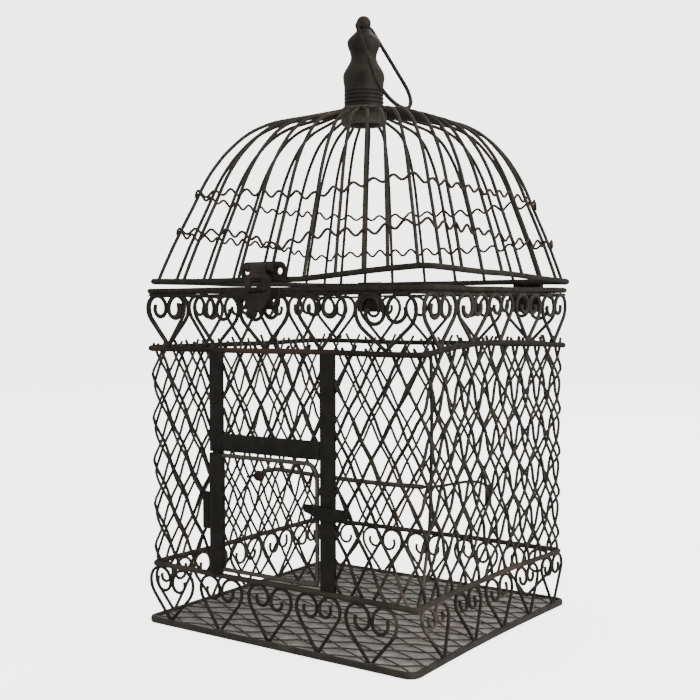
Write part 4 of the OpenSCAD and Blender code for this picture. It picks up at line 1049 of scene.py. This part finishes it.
def round_edges(piece, width):
    apply(piece, "BEVEL", width=width * MM, segments=2, limit_method="ANGLE", angle_limit=math.radians(50))
    bpy.ops.object.select_all(action="DESELECT")
    piece.select_set(True)
    bpy.ops.object.shade_smooth_by_angle(angle=SHEET_SMOOTH)


def pull(way):
    bpy.ops.mesh.extrude_region_move(TRANSFORM_OT_translate={"value": [v * MM for v in way]})
    close_up()


def drilled_plate(name, middle, foot, width, height, corner, front, hole_up, up=1):
    edge = [(-width / 2, 0), (width / 2, 0)]
    edge += arc((width / 2 - corner, height - corner), corner, 0, 90, 6)
    edge += arc((corner - width / 2, height - corner), corner, 90, 180, 6)
    piece = start_line(name)
    draw_line([(middle + u, front, foot + up * v) for u, v in edge + edge[:1]])
    join_ends()
    bpy.ops.mesh.edge_face_add()
    pull((0, SHEET, 0))
    for side in (-1, 1):
        hole_x = middle + side * (width / 2 - HOLE_IN)
        drill(piece, (hole_x, front, foot + up * hole_up), PLATE_HOLE, facets=20)
    return piece


def knuckle(x, length):
    bpy.ops.mesh.primitive_cylinder_add(vertices=24, radius=KNUCKLE * MM, depth=length * MM,
                                        rotation=(0, math.pi / 2, 0),
                                        location=Vector((x, HASP_Y, HASP_Z)) * MM)


def edit(piece):
    select_none()
    piece.select_set(True)
    bpy.context.view_layer.objects.active = piece
    bpy.ops.object.mode_set(mode="EDIT")


print("hasp sheet is", SHEET, "mm thick")

# %% Hasp plates
KNUCKLE_OUT, KNUCKLE_LONG, WEB_Y, WEB_DEEP = 9.4, 4, -111.2, 4.6
leaf = drilled_plate("hasp_leaf", HASP_X, foot=254.0, width=39.0, height=13.5, corner=5.5, front=-110.1,
                     hole_up=6.75)
edit(leaf)
for side in (-1, 1):
    x = HASP_X + side * KNUCKLE_OUT
    knuckle(x, KNUCKLE_LONG)
    bpy.ops.mesh.primitive_cube_add(size=MM, location=Vector((x, WEB_Y, HASP_Z)) * MM,
                                    scale=(KNUCKLE_LONG, WEB_DEEP, SHEET))
bpy.ops.object.mode_set(mode="OBJECT")
round_edges(leaf, SHEET_EDGE)
hand_over(leaf, hasp_iron, "lid", "hasp_plate")
catch = drilled_plate("catch_leaf", -11.7, foot=249.4, width=38.0, height=15.0, corner=5.0, front=-109.9,
                      hole_up=10.0, up=-1)
round_edges(catch, SHEET_EDGE)
hand_over(catch, hasp_iron, "cage", "catch_plate")

# %% Hasp strap
STRAP_Y, BEND_Z, BEND_R, STRAP_KNUCKLE = -115.75, 245.7, 18.0, 14
STRAP_EDGE = [(263.2, 7.0), (259.2, 7.0), (257.7, 9.3), (256.2, 10.6), (255.0, 11.0), (252.0, 11.0),
              (248.5, 11.0), (245.7, 11.0), (243.7, 10.7), (241.0, 9.6), (238.4, 8.1), (235.6, 6.4),
              (232.9, 5.3)]
SLOT_AT, SLOT = Vector((HASP_X - 0.9, STRAP_Y, 251.0)), (11, 12, 10.5)
LIP_AT, LIP_R, LIP_WIDE = Vector((HASP_X, -122.9, 231.6)), 3.7, 1.25


def strap_y(z):
    return STRAP_Y if z > BEND_Z else STRAP_Y - BEND_R + math.sqrt(BEND_R ** 2 - (BEND_Z - z) ** 2)


strap = start_line("hasp_strap")
for side in (-1, 1):
    draw_line([(HASP_X + side * half, strap_y(z), z) for z, half in STRAP_EDGE])
bpy.ops.mesh.select_all(action="SELECT")
bpy.ops.mesh.bridge_edge_loops()
bpy.ops.object.mode_set(mode="OBJECT")
apply(strap, "SOLIDIFY", thickness=SHEET * MM, offset=0.0)
select_none()
bpy.ops.mesh.primitive_cube_add(size=MM, location=SLOT_AT * MM, scale=SLOT)
cut(strap, bpy.context.object)
edit(strap)
knuckle(HASP_X, STRAP_KNUCKLE)
bpy.ops.mesh.primitive_uv_sphere_add(segments=20, ring_count=12, radius=LIP_R * MM, scale=(LIP_WIDE, 1, 1),
                                     location=LIP_AT * MM)
bpy.ops.object.mode_set(mode="OBJECT")
close_up()
round_edges(strap, SHEET_EDGE)
hand_over(strap, hasp_iron, "hasp", "hasp_tongue")

# %% [markdown]
# ## The base bar
# A bar runs round the foot and carries the whole cage. Two loops, one outside and one inside, are bridged
# to a flat ring, pulled up and rounded along the edges. A thin grey sheet lies inside it, under the
# floor's mesh.

# %% Base bar
BASE_OUTSIDE, BASE_INSIDE = (120.3, 112.0, 9.0), (116.7, 108.4, 5.4)
BASE_TALL, BASE_STEPS, BASE_EDGE = 4.6, 6, 1.2


def foot_line(half_x, half_y, corner, z):
    edge = loop(half_x, half_y, corner, BASE_STEPS)
    draw_line([racked(x, y, 0)[:2] + (z,) for x, y in edge + edge[:1]])


base = start_line("base_bar")
foot_line(*BASE_OUTSIDE, 0)
foot_line(*BASE_INSIDE, 0)
join_ends()
bpy.ops.mesh.bridge_edge_loops()
bpy.ops.mesh.select_all(action="SELECT")
pull((0, 0, BASE_TALL))
round_edges(base, BASE_EDGE)
hand_over(base, lit_side_and_pale_iron, "cage", "base_frame")

# %% Floor sheet
PLATE, PLATE_Z, PLATE_THICK, PLATE_EDGE = (117.6, 109.2, 6.2), 1.5, 1.0, 0.3
plate = start_line("floor_plate")
foot_line(*PLATE, PLATE_Z)
join_ends()
bpy.ops.mesh.edge_face_add()
pull((0, 0, PLATE_THICK))
round_edges(plate, PLATE_EDGE)
hand_over(plate, grey_sheet, "cage", "floor_sheet")

# %% [markdown]
# ## Sizes
# The box round the dressed cage is worked out and shown beside the fixed model's box.

# %% Sizes and finish
low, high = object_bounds()
{"cad": [list(cad_low), list(cad_high)], "visual": [list(low), list(high)]}
print("dressed model in mm:", [round(v / MM) for v in high - low])
